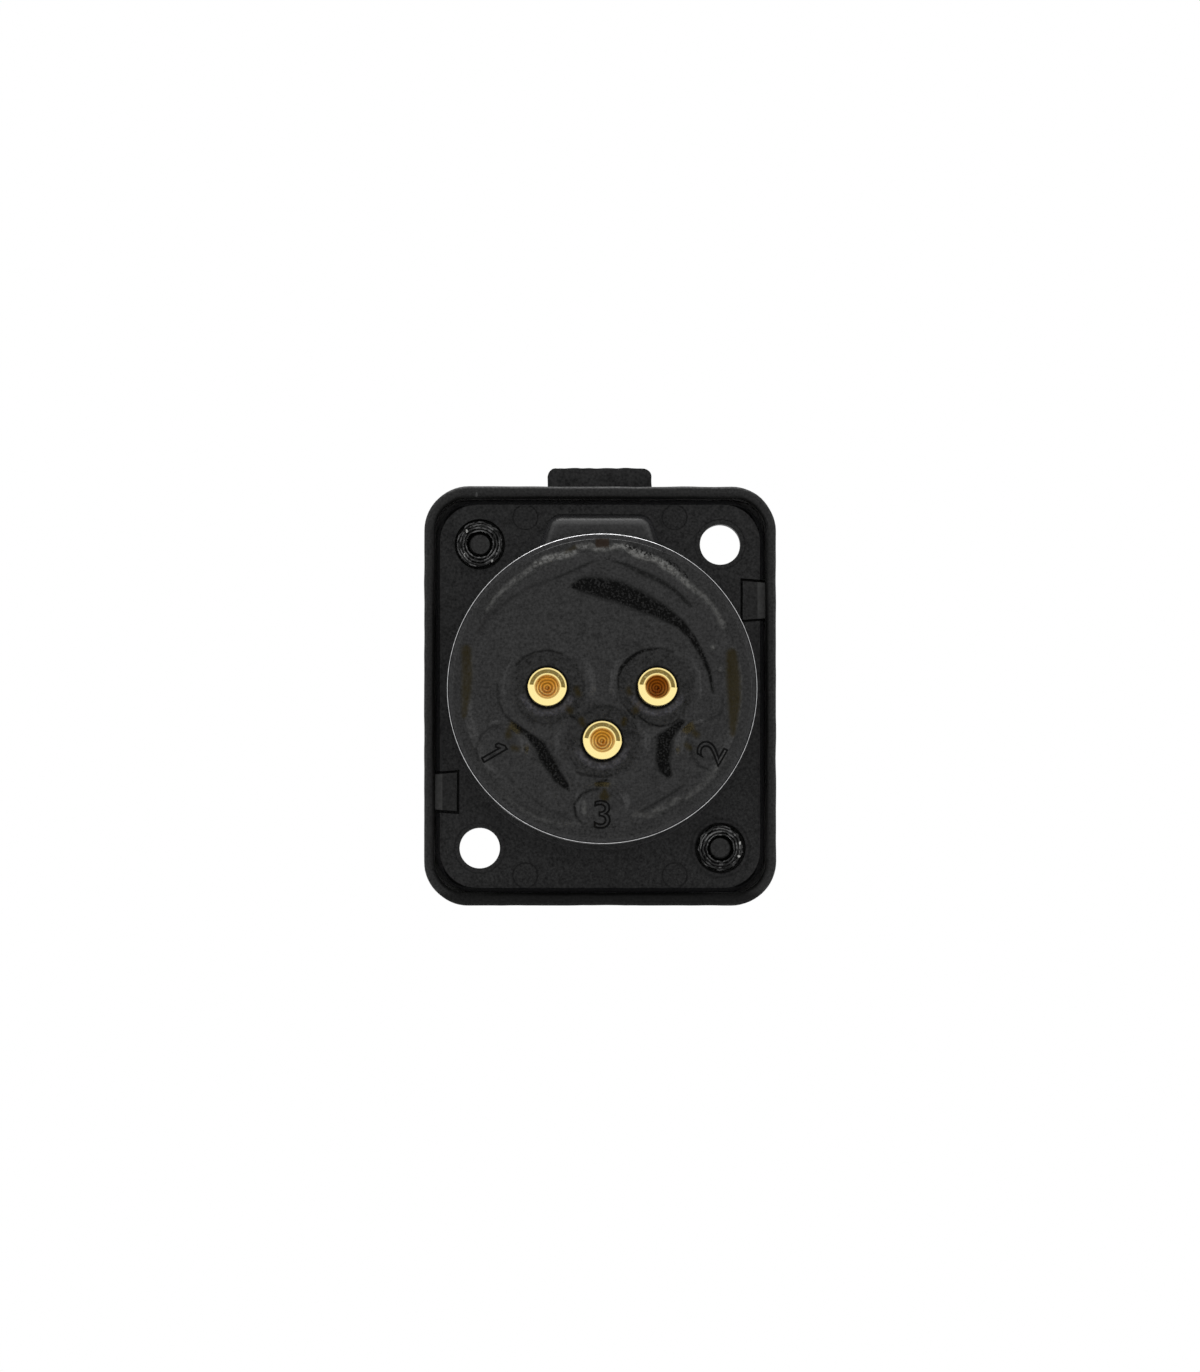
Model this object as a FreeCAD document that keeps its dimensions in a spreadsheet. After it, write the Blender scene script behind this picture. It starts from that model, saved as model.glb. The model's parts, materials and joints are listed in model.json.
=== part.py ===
import FreeCAD, Part
import Sketcher
import math
import os

# Panel-mount three-contact receptacle with a rectangular flange, a push latch and a potted rear.
# The connector's axis is Y: the plug enters from -Y, the solder cups point to +Y, and +Z is up.
# The origin lies on the axis in the plane where the seal's rim meets the panel.

os.makedirs("parts", exist_ok=True)
document = FreeCAD.newDocument("panel_receptacle")
sheet = document.addObject("Spreadsheet::Sheet", "Sizes")

# Driving dimensions, in millimetres and degrees
DIMENSIONS = (
    ("plug_bore", 9.6, "radius of the space for the plug's shell"),
    ("plug_depth", 9.0, "from the seating plane to the shoulder"),
    ("barrel_front_wall", 2.2, "barrel wall round the plug's space, for a 24 mm cut-out"),
    ("barrel_rear_wall", 1.05, "barrel wall at the rear"),
    ("barrel_step", 0.35, "root of the barrel stands out by this"),
    ("barrel_start", 0.02, "straight barrel starts this far in front of the seating plane"),
    ("barrel_edge", 0.12, "polished edge at the rear of the barrel"),
    ("rear_rim", 0.8, "barrel behind the resin"),
    ("flange_side", 1.2, "metal flange outside the barrel, at the sides"),
    ("flange_end", 3.7, "metal flange outside the barrel, above and below"),
    ("flange_corner", 3.3, "corner radius of the metal flange"),
    ("flange_edge", 0.35, "bevel of the metal flange's rear edge"),
    ("flange_thickness", 1.6, "metal flange"),
    ("floor_depth", 1.2, "from the rim's seating plane to the flange's rear face"),
    ("key_slot_width", 1.0, "locating slot inside the barrel, at the top"),
    ("key_slot_depth", 0.6, "locating slot, into the wall"),
    ("screw_inset", 3.5, "corner holes from the metal flange's sides and ends"),
    ("screw_hole", 1.6, "radius of the screw holes"),
    ("screw_face", 2.0, "radius of the spot face round a screw hole"),
    ("spot_depth", 0.1, "depth of the spot faces and ejector marks"),
    ("mark_radius", 1.0, "ejector marks"),
    ("mark_inset", 1.35, "ejector marks from the metal flange's ends"),
    ("peg_hole", 2.0, "radius of the holes for the seal's pegs"),
    ("clip_inset", 7.92, "middle of the clip slots from the metal flange's ends"),
    ("clip_reach", 1.9, "clip slots, inwards from the flange's side"),
    ("clip_inner", 3.5, "clip slots at their inner end"),
    ("clip_outer", 3.2, "clip slots at the flange's side"),
    ("hump_base_width", 10.4, "latch fairing next to the barrel"),
    ("hump_top_width", 7.9, "latch fairing at its top"),
    ("hump_root", 1.2, "start of the latch fairing inside the barrel's outside"),
    ("hump_wall", 0.45, "latch fairing above its cavity"),
    ("hump_corner", 1.2, "top corners of the latch fairing"),
    ("hump_height", 1.1, "latch fairing above the flange's rear face"),
    ("hump_slant", 18.0, "slant of the fairing's sides, in degrees"),
    ("hump_round", 0.7, "rounding of the fairing's rear edges"),
    ("rim_side", 0.85, "seal's rim at the sides"),
    ("rim_end", 1.0, "seal's rim above and below"),
    ("boot_corner", 3.5, "corner radius of the seal"),
    ("recess_corner", 2.5, "corner radius inside the seal's rim"),
    ("boot_skin", 1.0, "seal in front of the flange"),
    ("boot_gap", 0.05, "between the seal and the metal flange's edge"),
    ("boot_rear_round", 0.28, "rounding of the rim's rear edges"),
    ("boot_front_round", 0.7, "rounding of the seal's front edge"),
    ("boot_mouth_gap", 0.55, "seal's opening outside the plug bore"),
    ("lip_height", 0.5, "bead round the seal's opening"),
    ("lip_width", 1.1, "bead round the seal's opening"),
    ("screw_head", 3.0, "radius of the seal's opening for a screw head"),
    ("peg_radius", 1.65, "seal's pegs"),
    ("peg_rise", 0.25, "pegs stand out of the flange's rear face by this"),
    ("peg_groove_outer", 1.15, "ring groove in the end of a peg"),
    ("peg_groove_inner", 0.75, "ring groove in the end of a peg"),
    ("peg_groove_depth", 1.0, "ring groove in the end of a peg"),
    ("clip_gap", 0.22, "round the seal's clip tabs"),
    ("shell_space", 1.65, "room for the plug's shell round the insert's nose"),
    ("insert_recess", 1.2, "insert's face behind the front of the seal"),
    ("insert_base", 2.0, "thickness of the insert's base"),
    ("insert_gap", 0.1, "between the insulators and the barrel"),
    ("insert_edge", 0.4, "chamfer of the insert's nose"),
    ("keyway_width", 2.0, "groove along the insert's nose, at the top"),
    ("keyway_depth", 0.9, "groove along the insert's nose"),
    ("contact_across", 4.18, "contacts 1 and 2 from the middle"),
    ("contact_row", 0.1, "contacts 1 and 2 above the axis"),
    ("contact_drop", 4.05, "contact 3 below contacts 1 and 2"),
    ("entry_radius", 1.35, "entry holes of the insert"),
    ("entry_depth", 1.2, "wall in front of the contact chambers"),
    ("entry_edge", 0.3, "chamfer of the entry holes"),
    ("chamber_radius", 1.8, "contact chambers of the insert"),
    ("socket_radius", 1.5, "front of a contact"),
    ("socket_bore", 1.22, "bore of a contact, for a 2.39 mm pin"),
    ("socket_depth", 8.0, "depth of a contact's bore"),
    ("socket_setback", 0.6, "contact's end behind the chamber's front"),
    ("tine_slot_width", 0.35, "slots in the front of a contact"),
    ("tine_slot_depth", 6.3, "slots in the front of a contact"),
    ("collar_radius", 2.1, "collar that locks a contact"),
    ("collar_length", 0.9, "collar that locks a contact"),
    ("collar_gap", 0.05, "round and behind the collar"),
    ("cup_radius", 1.475, "solder cup"),
    ("cup_bore", 0.9, "solder cup's bore radius"),
    ("cup_proud", 2.8, "solder cups behind the barrel's end"),
    ("cup_depth", 3.6, "solder cup's bore"),
    ("cup_cutback", 2.6, "upper half of the cup is cut back by this"),
    ("cup_turn", 5.0, "how far the contacts are turned in place, in degrees"),
    ("drill_point", 0.5, "cone at the end of the bores"),
    ("hood_wall", 0.16, "steel sleeve round the front of a contact"),
    ("hood_gap", 0.02, "between the sleeve and the contact"),
    ("hood_length", 5.8, "steel sleeve"),
    ("hood_lip", 0.2, "front lip of the sleeve"),
    ("face_seal_thickness", 0.95, "rubber ring at the bottom of the plug space"),
    ("face_seal_gap", 0.07, "round the rubber ring"),
    ("oring_section", 0.36, "section radius of the ring seal"),
    ("oring_groove", 0.7, "depth of the ring seal's groove"),
    ("oring_play", 0.04, "round the ring seal in its groove"),
    ("carrier_thickness", 1.6, "plate of the rear insulator"),
    ("boss_radius", 2.85, "bosses round the contacts"),
    ("resin_depth", 4.8, "resin above the plate"),
    ("boss_proud", 0.3, "bosses above the resin"),
    ("boss_gap", 0.14, "between a boss and its contact"),
    ("pad_radius", 1.5, "number pads"),
    ("pad_inset", 1.45, "middle of the number pads from the plate's edge"),
    ("pad_proud", 0.5, "number pads above the resin"),
    ("notch_low", -1.0, "lower end of the plate's side notches"),
    ("notch_high", 3.4, "upper end of the plate's side notches"),
    ("notch_depth", 1.25, "side notches, into the plate"),
    ("pivot_depth", 1.75, "latch pivot in front of the seating plane"),
    ("pivot_rise", 1.2, "latch pivot outside the barrel"),
    ("pin_radius", 0.6, "latch pivot pin"),
    ("pin_length", 7.4, "latch pivot pin"),
    ("pin_play", 0.03, "round the pivot pin"),
    ("knuckle_wall", 0.25, "lever round the pivot pin"),
    ("knuckle_room", 0.2, "between the lever and its cavity, at the back"),
    ("side_room", 0.3, "between the lever and its cavity, at the sides"),
    ("roof_room", 0.07, "between the lever and the roof of its cavity"),
    ("neck_width", 5.4, "lever at its pivot"),
    ("neck_thickness", 1.1, "lever between its pivot and the tab"),
    ("arm_width", 4.0, "lever's arm"),
    ("arm_thickness", 0.45, "lever's arm"),
    ("arm_lift", 0.25, "arm outside the plug bore"),
    ("leg_thickness", 0.8, "lever between its pivot and the arm"),
    ("tooth_bite", 0.6, "tooth inside the plug bore"),
    ("tooth_rear", 3.8, "tooth's catching face behind the seating plane"),
    ("tooth_flat", 0.8, "tooth's tip"),
    ("tooth_slope", 0.9, "tooth's ramp"),
    ("travel_room", 0.95, "between the arm and the roof of its slot"),
    ("slot_room", 1.2, "slot behind the arm"),
    ("tab_width", 8.3, "push tab"),
    ("tab_rise", 1.72, "push tab above the seal"),
    ("tab_drop", 1.1, "push tab below the latch pivot"),
    ("tab_thickness", 1.95, "push tab"),
    ("tab_corner", 0.7, "corners of the push tab"),
    ("tab_gap", 0.35, "between the push tab and the seal"),
    ("tab_wall", 0.45, "push tab's cap behind the lever's plate"),
    ("plate_width", 6.4, "lever's plate inside the cap"),
    ("plate_thickness", 0.8, "lever's plate inside the cap"),
    ("plate_play", 0.03, "round the lever's plate inside the cap"),
    ("rib_depth", 0.25, "grip grooves of the push tab"),
    ("rib_pitch", 1.0, "grip grooves of the push tab"),
    ("leaf_thickness", 0.15, "latch spring"),
    ("leaf_width", 3.4, "latch spring"),
    ("leaf_play", 0.03, "round the latch spring"),
    ("leaf_anchor", 1.4, "latch spring's end in its kerf"),
    ("leaf_toe", 1.3, "where the spring rests on the arm"),
    ("leaf_curl", 0.35, "spring's turned-up tip"),
)


def worth(item):
    """The number behind a size or a plain number."""
    return item.value if isinstance(item, Size) else item


def words(item):
    """The expression behind a size or a plain number."""
    return item.text if isinstance(item, Size) else repr(float(item))


class Size:
    """A length with its value and the sheet expression that gives it."""

    def __init__(self, value, text):
        self.value = value
        self.text = text

    def __add__(self, other):
        return Size(self.value + worth(other), "(%s + %s)" % (self.text, words(other)))

    def __radd__(self, other):
        return Size(worth(other) + self.value, "(%s + %s)" % (words(other), self.text))

    def __sub__(self, other):
        return Size(self.value - worth(other), "(%s - %s)" % (self.text, words(other)))

    def __rsub__(self, other):
        return Size(worth(other) - self.value, "(%s - %s)" % (words(other), self.text))

    def __mul__(self, other):
        return Size(self.value * worth(other), "(%s * %s)" % (self.text, words(other)))

    def __rmul__(self, other):
        return Size(worth(other) * self.value, "(%s * %s)" % (words(other), self.text))

    def __truediv__(self, other):
        return Size(self.value / worth(other), "(%s / %s)" % (self.text, words(other)))

    def __neg__(self):
        return Size(-self.value, "(0 - %s)" % self.text)


class Sizes:
    """The driving dimensions by name."""


for row, (alias, number, note) in enumerate(DIMENSIONS, start=1):
    sheet.set("A%d" % row, note)
    sheet.set("B%d" % row, str(number))
    sheet.setAlias("B%d" % row, alias)
document.recompute()

S = Sizes()
for alias, number, note in DIMENSIONS:
    setattr(S, alias, Size(float(sheet.get(alias)), "Sizes." + alias))


# Drawing and feature helpers

def new_body(label):
    """An empty body whose label names its piece."""
    body = document.addObject("PartDesign::Body", label)
    body.Label = label
    return body


def bind(item, path, size):
    """Tie one property to a size."""
    item.setExpression(path, words(size))


def new_sketch(body, name, role, away=0.0, across=0.0, up=0.0, turn=None):
    """A sketch on an origin plane of the body, moved away along the plane's normal."""
    sketch = body.newObject("Sketcher::SketchObject", name)
    plane = [item for item in body.Origin.OriginFeatures if item.Role == role][0]
    sketch.AttachmentSupport = [(plane, "")]
    sketch.MapMode = "FlatFace"
    bind(sketch, "AttachmentOffset.Base.x", across)
    bind(sketch, "AttachmentOffset.Base.y", up)
    bind(sketch, "AttachmentOffset.Base.z", away)
    if turn is not None:
        sketch.AttachmentOffset = FreeCAD.Placement(
            FreeCAD.Vector(worth(across), worth(up), worth(away)),
            FreeCAD.Rotation(FreeCAD.Vector(0, 0, 1), worth(turn)))
        bind(sketch, "AttachmentOffset.Rotation.Angle", turn)
    return sketch


def facing(body, name, depth, across=0.0, up=0.0, turn=None):
    """A sketch square to the connector's axis, at this place along it."""
    return new_sketch(body, name, "XZ_Plane", -1.0 * depth, across, up, turn)


def lengthwise(body, name, across=0.0, up=0.0):
    """A sketch along the connector's axis: its first direction is Y, its second Z."""
    return new_sketch(body, name, "YZ_Plane", across, 0.0, up)


def fix_point(sketch, geometry, end, across, up):
    """Dimension one point from the sketch's origin."""
    first = sketch.addConstraint(Sketcher.Constraint("DistanceX", -1, 1, geometry, end, worth(across)))
    second = sketch.addConstraint(Sketcher.Constraint("DistanceY", -1, 1, geometry, end, worth(up)))
    if isinstance(across, Size):
        bind(sketch, "Constraints[%d]" % first, across)
    if isinstance(up, Size):
        bind(sketch, "Constraints[%d]" % second, up)


def draw_circle(sketch, across, up, radius):
    """A dimensioned circle."""
    middle = FreeCAD.Vector(worth(across), worth(up), 0)
    number = sketch.addGeometry(Part.Circle(middle, FreeCAD.Vector(0, 0, 1), worth(radius)))
    fix_point(sketch, number, 3, across, up)
    span = sketch.addConstraint(Sketcher.Constraint("Radius", number, worth(radius)))
    bind(sketch, "Constraints[%d]" % span, radius)


def corner_round(before, corner, after, radius):
    """Start, end, centre and turning sense of the arc that rounds a corner."""
    arriving = (corner - before).normalize()
    leaving = (after - corner).normalize()
    half = math.pi / 2 - arriving.getAngle(leaving) / 2
    reach = radius / math.tan(half)
    start = corner - arriving * reach
    end = corner + leaving * reach
    inward = (leaving - arriving).normalize()
    centre = corner + inward * (radius / math.sin(half))
    left_turn = arriving.cross(leaving).z > 0
    return start, end, centre, left_turn


def draw_outline(sketch, corners):
    """A closed outline through corners, each (across, up) or (across, up, rounding)."""
    count = len(corners)
    spots = [FreeCAD.Vector(worth(corner[0]), worth(corner[1]), 0) for corner in corners]
    leaves = []
    arrives = []
    arcs = {}
    for index, corner in enumerate(corners):
        if len(corner) == 3:
            arc = corner_round(spots[index - 1], spots[index], spots[(index + 1) % count], worth(corner[2]))
            arcs[index] = arc
            arrives.append(arc[0])
            leaves.append(arc[1])
        else:
            arrives.append(spots[index])
            leaves.append(spots[index])
    lines = []
    for index in range(count):
        edge = Part.LineSegment(leaves[index], arrives[(index + 1) % count])
        lines.append(sketch.addGeometry(edge))
    for index, corner in enumerate(corners):
        arriving = lines[index - 1]
        leaving = lines[index]
        if index not in arcs:
            sketch.addConstraint(Sketcher.Constraint("Coincident", arriving, 2, leaving, 1))
            fix_point(sketch, leaving, 1, corner[0], corner[1])
            continue
        start, end, centre, left_turn = arcs[index]
        first, last = (start, end) if left_turn else (end, start)
        circle = Part.Circle(centre, FreeCAD.Vector(0, 0, 1), worth(corner[2]))
        opening = math.atan2(first.y - centre.y, first.x - centre.x)
        closing = math.atan2(last.y - centre.y, last.x - centre.x)
        arc = sketch.addGeometry(Part.ArcOfCircle(circle, opening, closing))
        point = sketch.addGeometry(Part.Point(spots[index]), True)
        fix_point(sketch, point, 1, corner[0], corner[1])
        sketch.addConstraint(Sketcher.Constraint("PointOnObject", point, 1, arriving))
        sketch.addConstraint(Sketcher.Constraint("PointOnObject", point, 1, leaving))
        sketch.addConstraint(Sketcher.Constraint("Tangent", arriving, 2, arc, 1 if left_turn else 2))
        sketch.addConstraint(Sketcher.Constraint("Tangent", leaving, 1, arc, 2 if left_turn else 1))
        span = sketch.addConstraint(Sketcher.Constraint("Radius", arc, worth(corner[2])))
        bind(sketch, "Constraints[%d]" % span, corner[2])


def rectangle(left, right, low, high, rounding=None):
    """Corners of an upright rectangle."""
    corners = ((left, low), (right, low), (right, high), (left, high))
    if rounding is None:
        return corners
    return tuple((across, up, rounding) for across, up in corners)


def centred(width, height, rounding=None):
    """Corners of a rectangle about the axis."""
    return rectangle(-width / 2, width / 2, -height / 2, height / 2, rounding)


def add_forward(body, name, sketch, length, slant=None):
    """Material from the sketch towards the plug side."""
    pad = body.newObject("PartDesign::Pad", name)
    pad.Profile = sketch
    bind(pad, "Length", length)
    if slant is not None:
        bind(pad, "TaperAngle", slant)
    document.recompute()
    return pad


def add_backward(body, name, sketch, length, slant):
    """Material from the sketch towards the rear, with slanted sides."""
    pad = body.newObject("PartDesign::Pad", name)
    pad.Profile = sketch
    pad.Reversed = True
    bind(pad, "Length", length)
    bind(pad, "TaperAngle", -1.0 * slant)
    document.recompute()
    return pad


def add_both_ways(body, name, sketch, length):
    """Material on both sides of the sketch."""
    pad = body.newObject("PartDesign::Pad", name)
    pad.Profile = sketch
    pad.Midplane = True
    bind(pad, "Length", length)
    document.recompute()
    return pad


def add_turned(body, name, sketch):
    """Material turned about the sketch's first axis."""
    turned = body.newObject("PartDesign::Revolution", name)
    turned.Profile = sketch
    turned.ReferenceAxis = (sketch, ["H_Axis"])
    turned.Angle = 360.0
    document.recompute()
    return turned


def checked_cut(body, cut, before):
    """A cut has to take material away."""
    document.recompute()
    if not cut.Shape.Volume < before - 1e-6:
        raise RuntimeError("%s cuts nothing in %s" % (cut.Name, body.Label))
    return cut


def cut_backward(body, name, sketch, length):
    """Cut from the sketch towards the rear."""
    before = body.Shape.Volume
    pocket = body.newObject("PartDesign::Pocket", name)
    pocket.Profile = sketch
    bind(pocket, "Length", length)
    return checked_cut(body, pocket, before)


def cut_both_ways(body, name, sketch, length):
    """Cut on both sides of the sketch."""
    before = body.Shape.Volume
    pocket = body.newObject("PartDesign::Pocket", name)
    pocket.Profile = sketch
    pocket.Midplane = True
    bind(pocket, "Length", length)
    return checked_cut(body, pocket, before)


def edge_names(feature, test):
    """Names of the edges that pass a test."""
    return ["Edge%d" % (index + 1) for index, edge in enumerate(feature.Shape.Edges) if test(edge)]


def dress(body, kind, name, edges, size):
    """Round or chamfer named edges of the body's last feature."""
    base = body.Tip
    if not edges:
        raise RuntimeError("%s finds no edge in %s" % (name, body.Label))
    feature = body.newObject("PartDesign::" + kind, name)
    feature.Base = (base, edges)
    bind(feature, "Radius" if kind == "Fillet" else "Size", size)
    document.recompute()
    return feature


def flat_at(depth):
    """Test for edges that lie in one plane square to the axis."""
    place = worth(depth)

    def test(edge):
        box = edge.BoundBox
        return abs(box.YMin - place) < 1e-4 and abs(box.YMax - place) < 1e-4
    return test


def circle_at(depth, radius):
    """Test for round edges of one radius in one plane."""
    level = flat_at(depth)
    span = worth(radius)

    def test(edge):
        return level(edge) and isinstance(edge.Curve, Part.Circle) and abs(edge.Curve.Radius - span) < 1e-4
    return test


# Edges of the fairing closer than this to the barrel stay sharp
BARREL_CLEARANCE = 0.2
# Share of the bead's height that its rounding takes
LIP_ROUND = 0.8
# How far the latch's cuts reach into the plug's space, which is open already
BORE_OVERRUN = 1.0
# How far the insert's key reaches into its base
KEY_ROOT = 0.5

# Places along the axis
floor = -S.floor_depth
flange_front = floor - S.flange_thickness
boot_front = flange_front - S.boot_skin
insert_front = boot_front + S.insert_recess
base_rear = S.plug_depth + S.insert_base
plate_rear = base_rear + S.carrier_thickness
resin_top = plate_rear + S.resin_depth
barrel_rear = resin_top + S.rear_rim
cup_rear = barrel_rear + S.cup_proud
chamber_front = insert_front + S.entry_depth
socket_front = chamber_front + S.socket_setback

# Sizes across the axis
barrel_radius = S.plug_bore + S.barrel_front_wall
rear_bore = barrel_radius - S.barrel_rear_wall
insulator_radius = rear_bore - S.insert_gap
insert_radius = S.plug_bore - S.shell_space
flange_width = 2 * (barrel_radius + S.flange_side)
flange_height = 2 * (barrel_radius + S.flange_end)
boot_width = flange_width + 2 * (S.boot_gap + S.rim_side)
boot_height = flange_height + 2 * (S.boot_gap + S.rim_end)

# Places round the axis
screw_across = flange_width / 2 - S.screw_inset
screw_up = flange_height / 2 - S.screw_inset
screw_places = ((-screw_across, screw_up), (screw_across, -screw_up))
peg_places = ((screw_across, screw_up), (-screw_across, -screw_up))
mark_across = barrel_radius / 2
mark_up = flange_height / 2 - S.mark_inset
clip_drop = flange_height / 2 - S.clip_inset
contact_places = {
    "1": (S.contact_across, S.contact_row),
    "2": (-S.contact_across, S.contact_row),
    "3": (0.0 * S.contact_across, S.contact_row - S.contact_drop),
}
PAD_TURN = math.radians(30.0)
pad_circle = insulator_radius - S.pad_inset
pad_places = (
    (pad_circle * math.cos(PAD_TURN), -pad_circle * math.sin(PAD_TURN)),
    (-pad_circle * math.cos(PAD_TURN), -pad_circle * math.sin(PAD_TURN)),
    (0.0 * pad_circle, -pad_circle),
)

# Places of the latch
pivot_place = -S.pivot_depth
pivot_height = barrel_radius + S.pivot_rise
knuckle_radius = S.pin_radius + S.pin_play + S.knuckle_wall
arm_bottom = S.plug_bore + S.arm_lift
arm_top = arm_bottom + S.arm_thickness
slot_roof = arm_top + S.travel_room
slot_end = S.tooth_rear + S.slot_room
cavity_end = pivot_place + knuckle_radius + S.knuckle_room
cavity_width = S.neck_width + 2 * S.side_room
cavity_top = pivot_height + knuckle_radius + S.roof_room
tab_rear = boot_front - S.tab_gap
tab_top = boot_height / 2 + S.tab_rise
plate_rear_face = tab_rear - S.tab_wall


def make_flange_housing():
    """Die-cast flange and barrel in one piece, with the latch's cavity and slot."""
    fairing_rear = flat_at(floor + S.hump_height)

    flange_rear = flat_at(floor)

    def fairing_edge(edge):
        away = math.hypot(edge.CenterOfMass.x, edge.CenterOfMass.z) - worth(barrel_radius)
        return fairing_rear(edge) and away > BARREL_CLEARANCE

    def flange_edge(edge):
        middle = edge.CenterOfMass
        side = abs(abs(middle.x) - worth(flange_width) / 2) < 1e-4
        end = abs(abs(middle.z) - worth(flange_height) / 2) < 1e-4
        corner = isinstance(edge.Curve, Part.Circle) and abs(edge.Curve.Radius - worth(S.flange_corner)) < 1e-4
        return flange_rear(edge) and (side or end or corner)

    body = new_body("flange_housing")
    hump = facing(body, "fairing_outline", floor)
    draw_outline(hump, (
        (-S.hump_base_width / 2, barrel_radius - S.hump_root),
        (S.hump_base_width / 2, barrel_radius - S.hump_root),
        (S.hump_top_width / 2, cavity_top + S.hump_wall, S.hump_corner),
        (-S.hump_top_width / 2, cavity_top + S.hump_wall, S.hump_corner),
    ))
    add_backward(body, "fairing", hump, S.hump_height, S.hump_slant)
    dress(body, "Fillet", "fairing_round", edge_names(body.Tip, fairing_edge), S.hump_round)

    plate = facing(body, "flange_outline", floor)
    draw_outline(plate, centred(flange_width, flange_height, S.flange_corner))
    add_forward(body, "flange", plate, S.flange_thickness)
    dress(body, "Chamfer", "flange_edge_bevel", edge_names(body.Tip, flange_edge), S.flange_edge)

    barrel = lengthwise(body, "barrel_section")
    root = barrel_radius + S.barrel_step
    draw_outline(barrel, (
        (flange_front + S.flange_thickness / 2, S.plug_bore),
        (S.plug_depth, S.plug_bore),
        (S.plug_depth, rear_bore),
        (barrel_rear - S.barrel_edge, rear_bore),
        (barrel_rear, rear_bore + S.barrel_edge),
        (barrel_rear, barrel_radius - S.barrel_edge),
        (barrel_rear - S.barrel_edge, barrel_radius),
        (-S.barrel_start, barrel_radius),
        (-S.barrel_start - S.barrel_step, root),
        (flange_front + S.flange_thickness / 2, root),
    ))
    add_turned(body, "barrel", barrel)

    bore = facing(body, "plug_bore_outline", flange_front)
    draw_circle(bore, 0.0, 0.0, S.plug_bore)
    cut_backward(body, "plug_bore", bore, S.plug_depth - flange_front)

    key = facing(body, "key_slot_outline", S.plug_depth)
    draw_outline(key, rectangle(-S.key_slot_width / 2, S.key_slot_width / 2,
                                S.plug_bore, rear_bore + S.key_slot_depth))
    cut_backward(body, "key_slot", key, barrel_rear - S.plug_depth)

    screws = facing(body, "screw_hole_outline", flange_front)
    for across, up in screw_places:
        draw_circle(screws, across, up, S.screw_hole)
    for across, up in peg_places:
        draw_circle(screws, across, up, S.peg_hole)
    cut_backward(body, "screw_and_peg_holes", screws, S.flange_thickness)

    faces = facing(body, "spot_face_outline", floor - S.spot_depth)
    for across, up in screw_places:
        draw_circle(faces, across, up, S.screw_face)
    for side in (-1, 1):
        for level in (-1, 1):
            draw_circle(faces, side * mark_across, level * mark_up, S.mark_radius)
    cut_backward(body, "spot_faces", faces, S.spot_depth)

    clips = facing(body, "clip_slot_outline", flange_front)
    for side in (-1, 1):
        inner = side * (flange_width / 2 - S.clip_reach)
        outer = side * (flange_width / 2 + S.boot_gap)
        middle = -side * clip_drop
        draw_outline(clips, (
            (inner, middle - S.clip_inner / 2),
            (outer, middle - S.clip_outer / 2),
            (outer, middle + S.clip_outer / 2),
            (inner, middle + S.clip_inner / 2),
        ))
    cut_backward(body, "clip_slots", clips, S.flange_thickness)

    cavity = facing(body, "latch_cavity_outline", flange_front)
    draw_outline(cavity, rectangle(-cavity_width / 2, cavity_width / 2,
                                   S.plug_bore - BORE_OVERRUN, cavity_top))
    cut_backward(body, "latch_cavity", cavity, cavity_end - flange_front)

    slot = facing(body, "arm_slot_outline", flange_front)
    slot_width = S.arm_width + 2 * S.side_room
    draw_outline(slot, rectangle(-slot_width / 2, slot_width / 2, S.plug_bore - BORE_OVERRUN, slot_roof))
    cut_backward(body, "arm_slot", slot, slot_end - flange_front)

    kerf = facing(body, "leaf_kerf_outline", slot_end)
    kerf_width = S.leaf_width + 2 * S.leaf_play
    kerf_low = slot_roof - S.leaf_thickness - 2 * S.leaf_play
    draw_outline(kerf, rectangle(-kerf_width / 2, kerf_width / 2, kerf_low, slot_roof))
    cut_backward(body, "leaf_kerf", kerf, S.leaf_anchor + S.leaf_play)

    seat = facing(body, "pin_seat_outline", flange_front)
    seat_radius = S.pin_radius + S.pin_play
    seat_length = S.pin_length + 2 * S.pin_play
    draw_outline(seat, rectangle(-seat_length / 2, seat_length / 2,
                                 pivot_height - seat_radius, pivot_height + seat_radius))
    cut_backward(body, "pin_seat_mouth", seat, pivot_place - flange_front)
    seat_end = lengthwise(body, "pin_seat_section")
    draw_circle(seat_end, pivot_place, pivot_height, seat_radius)
    cut_both_ways(body, "pin_seat", seat_end, seat_length)
    return body


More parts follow.
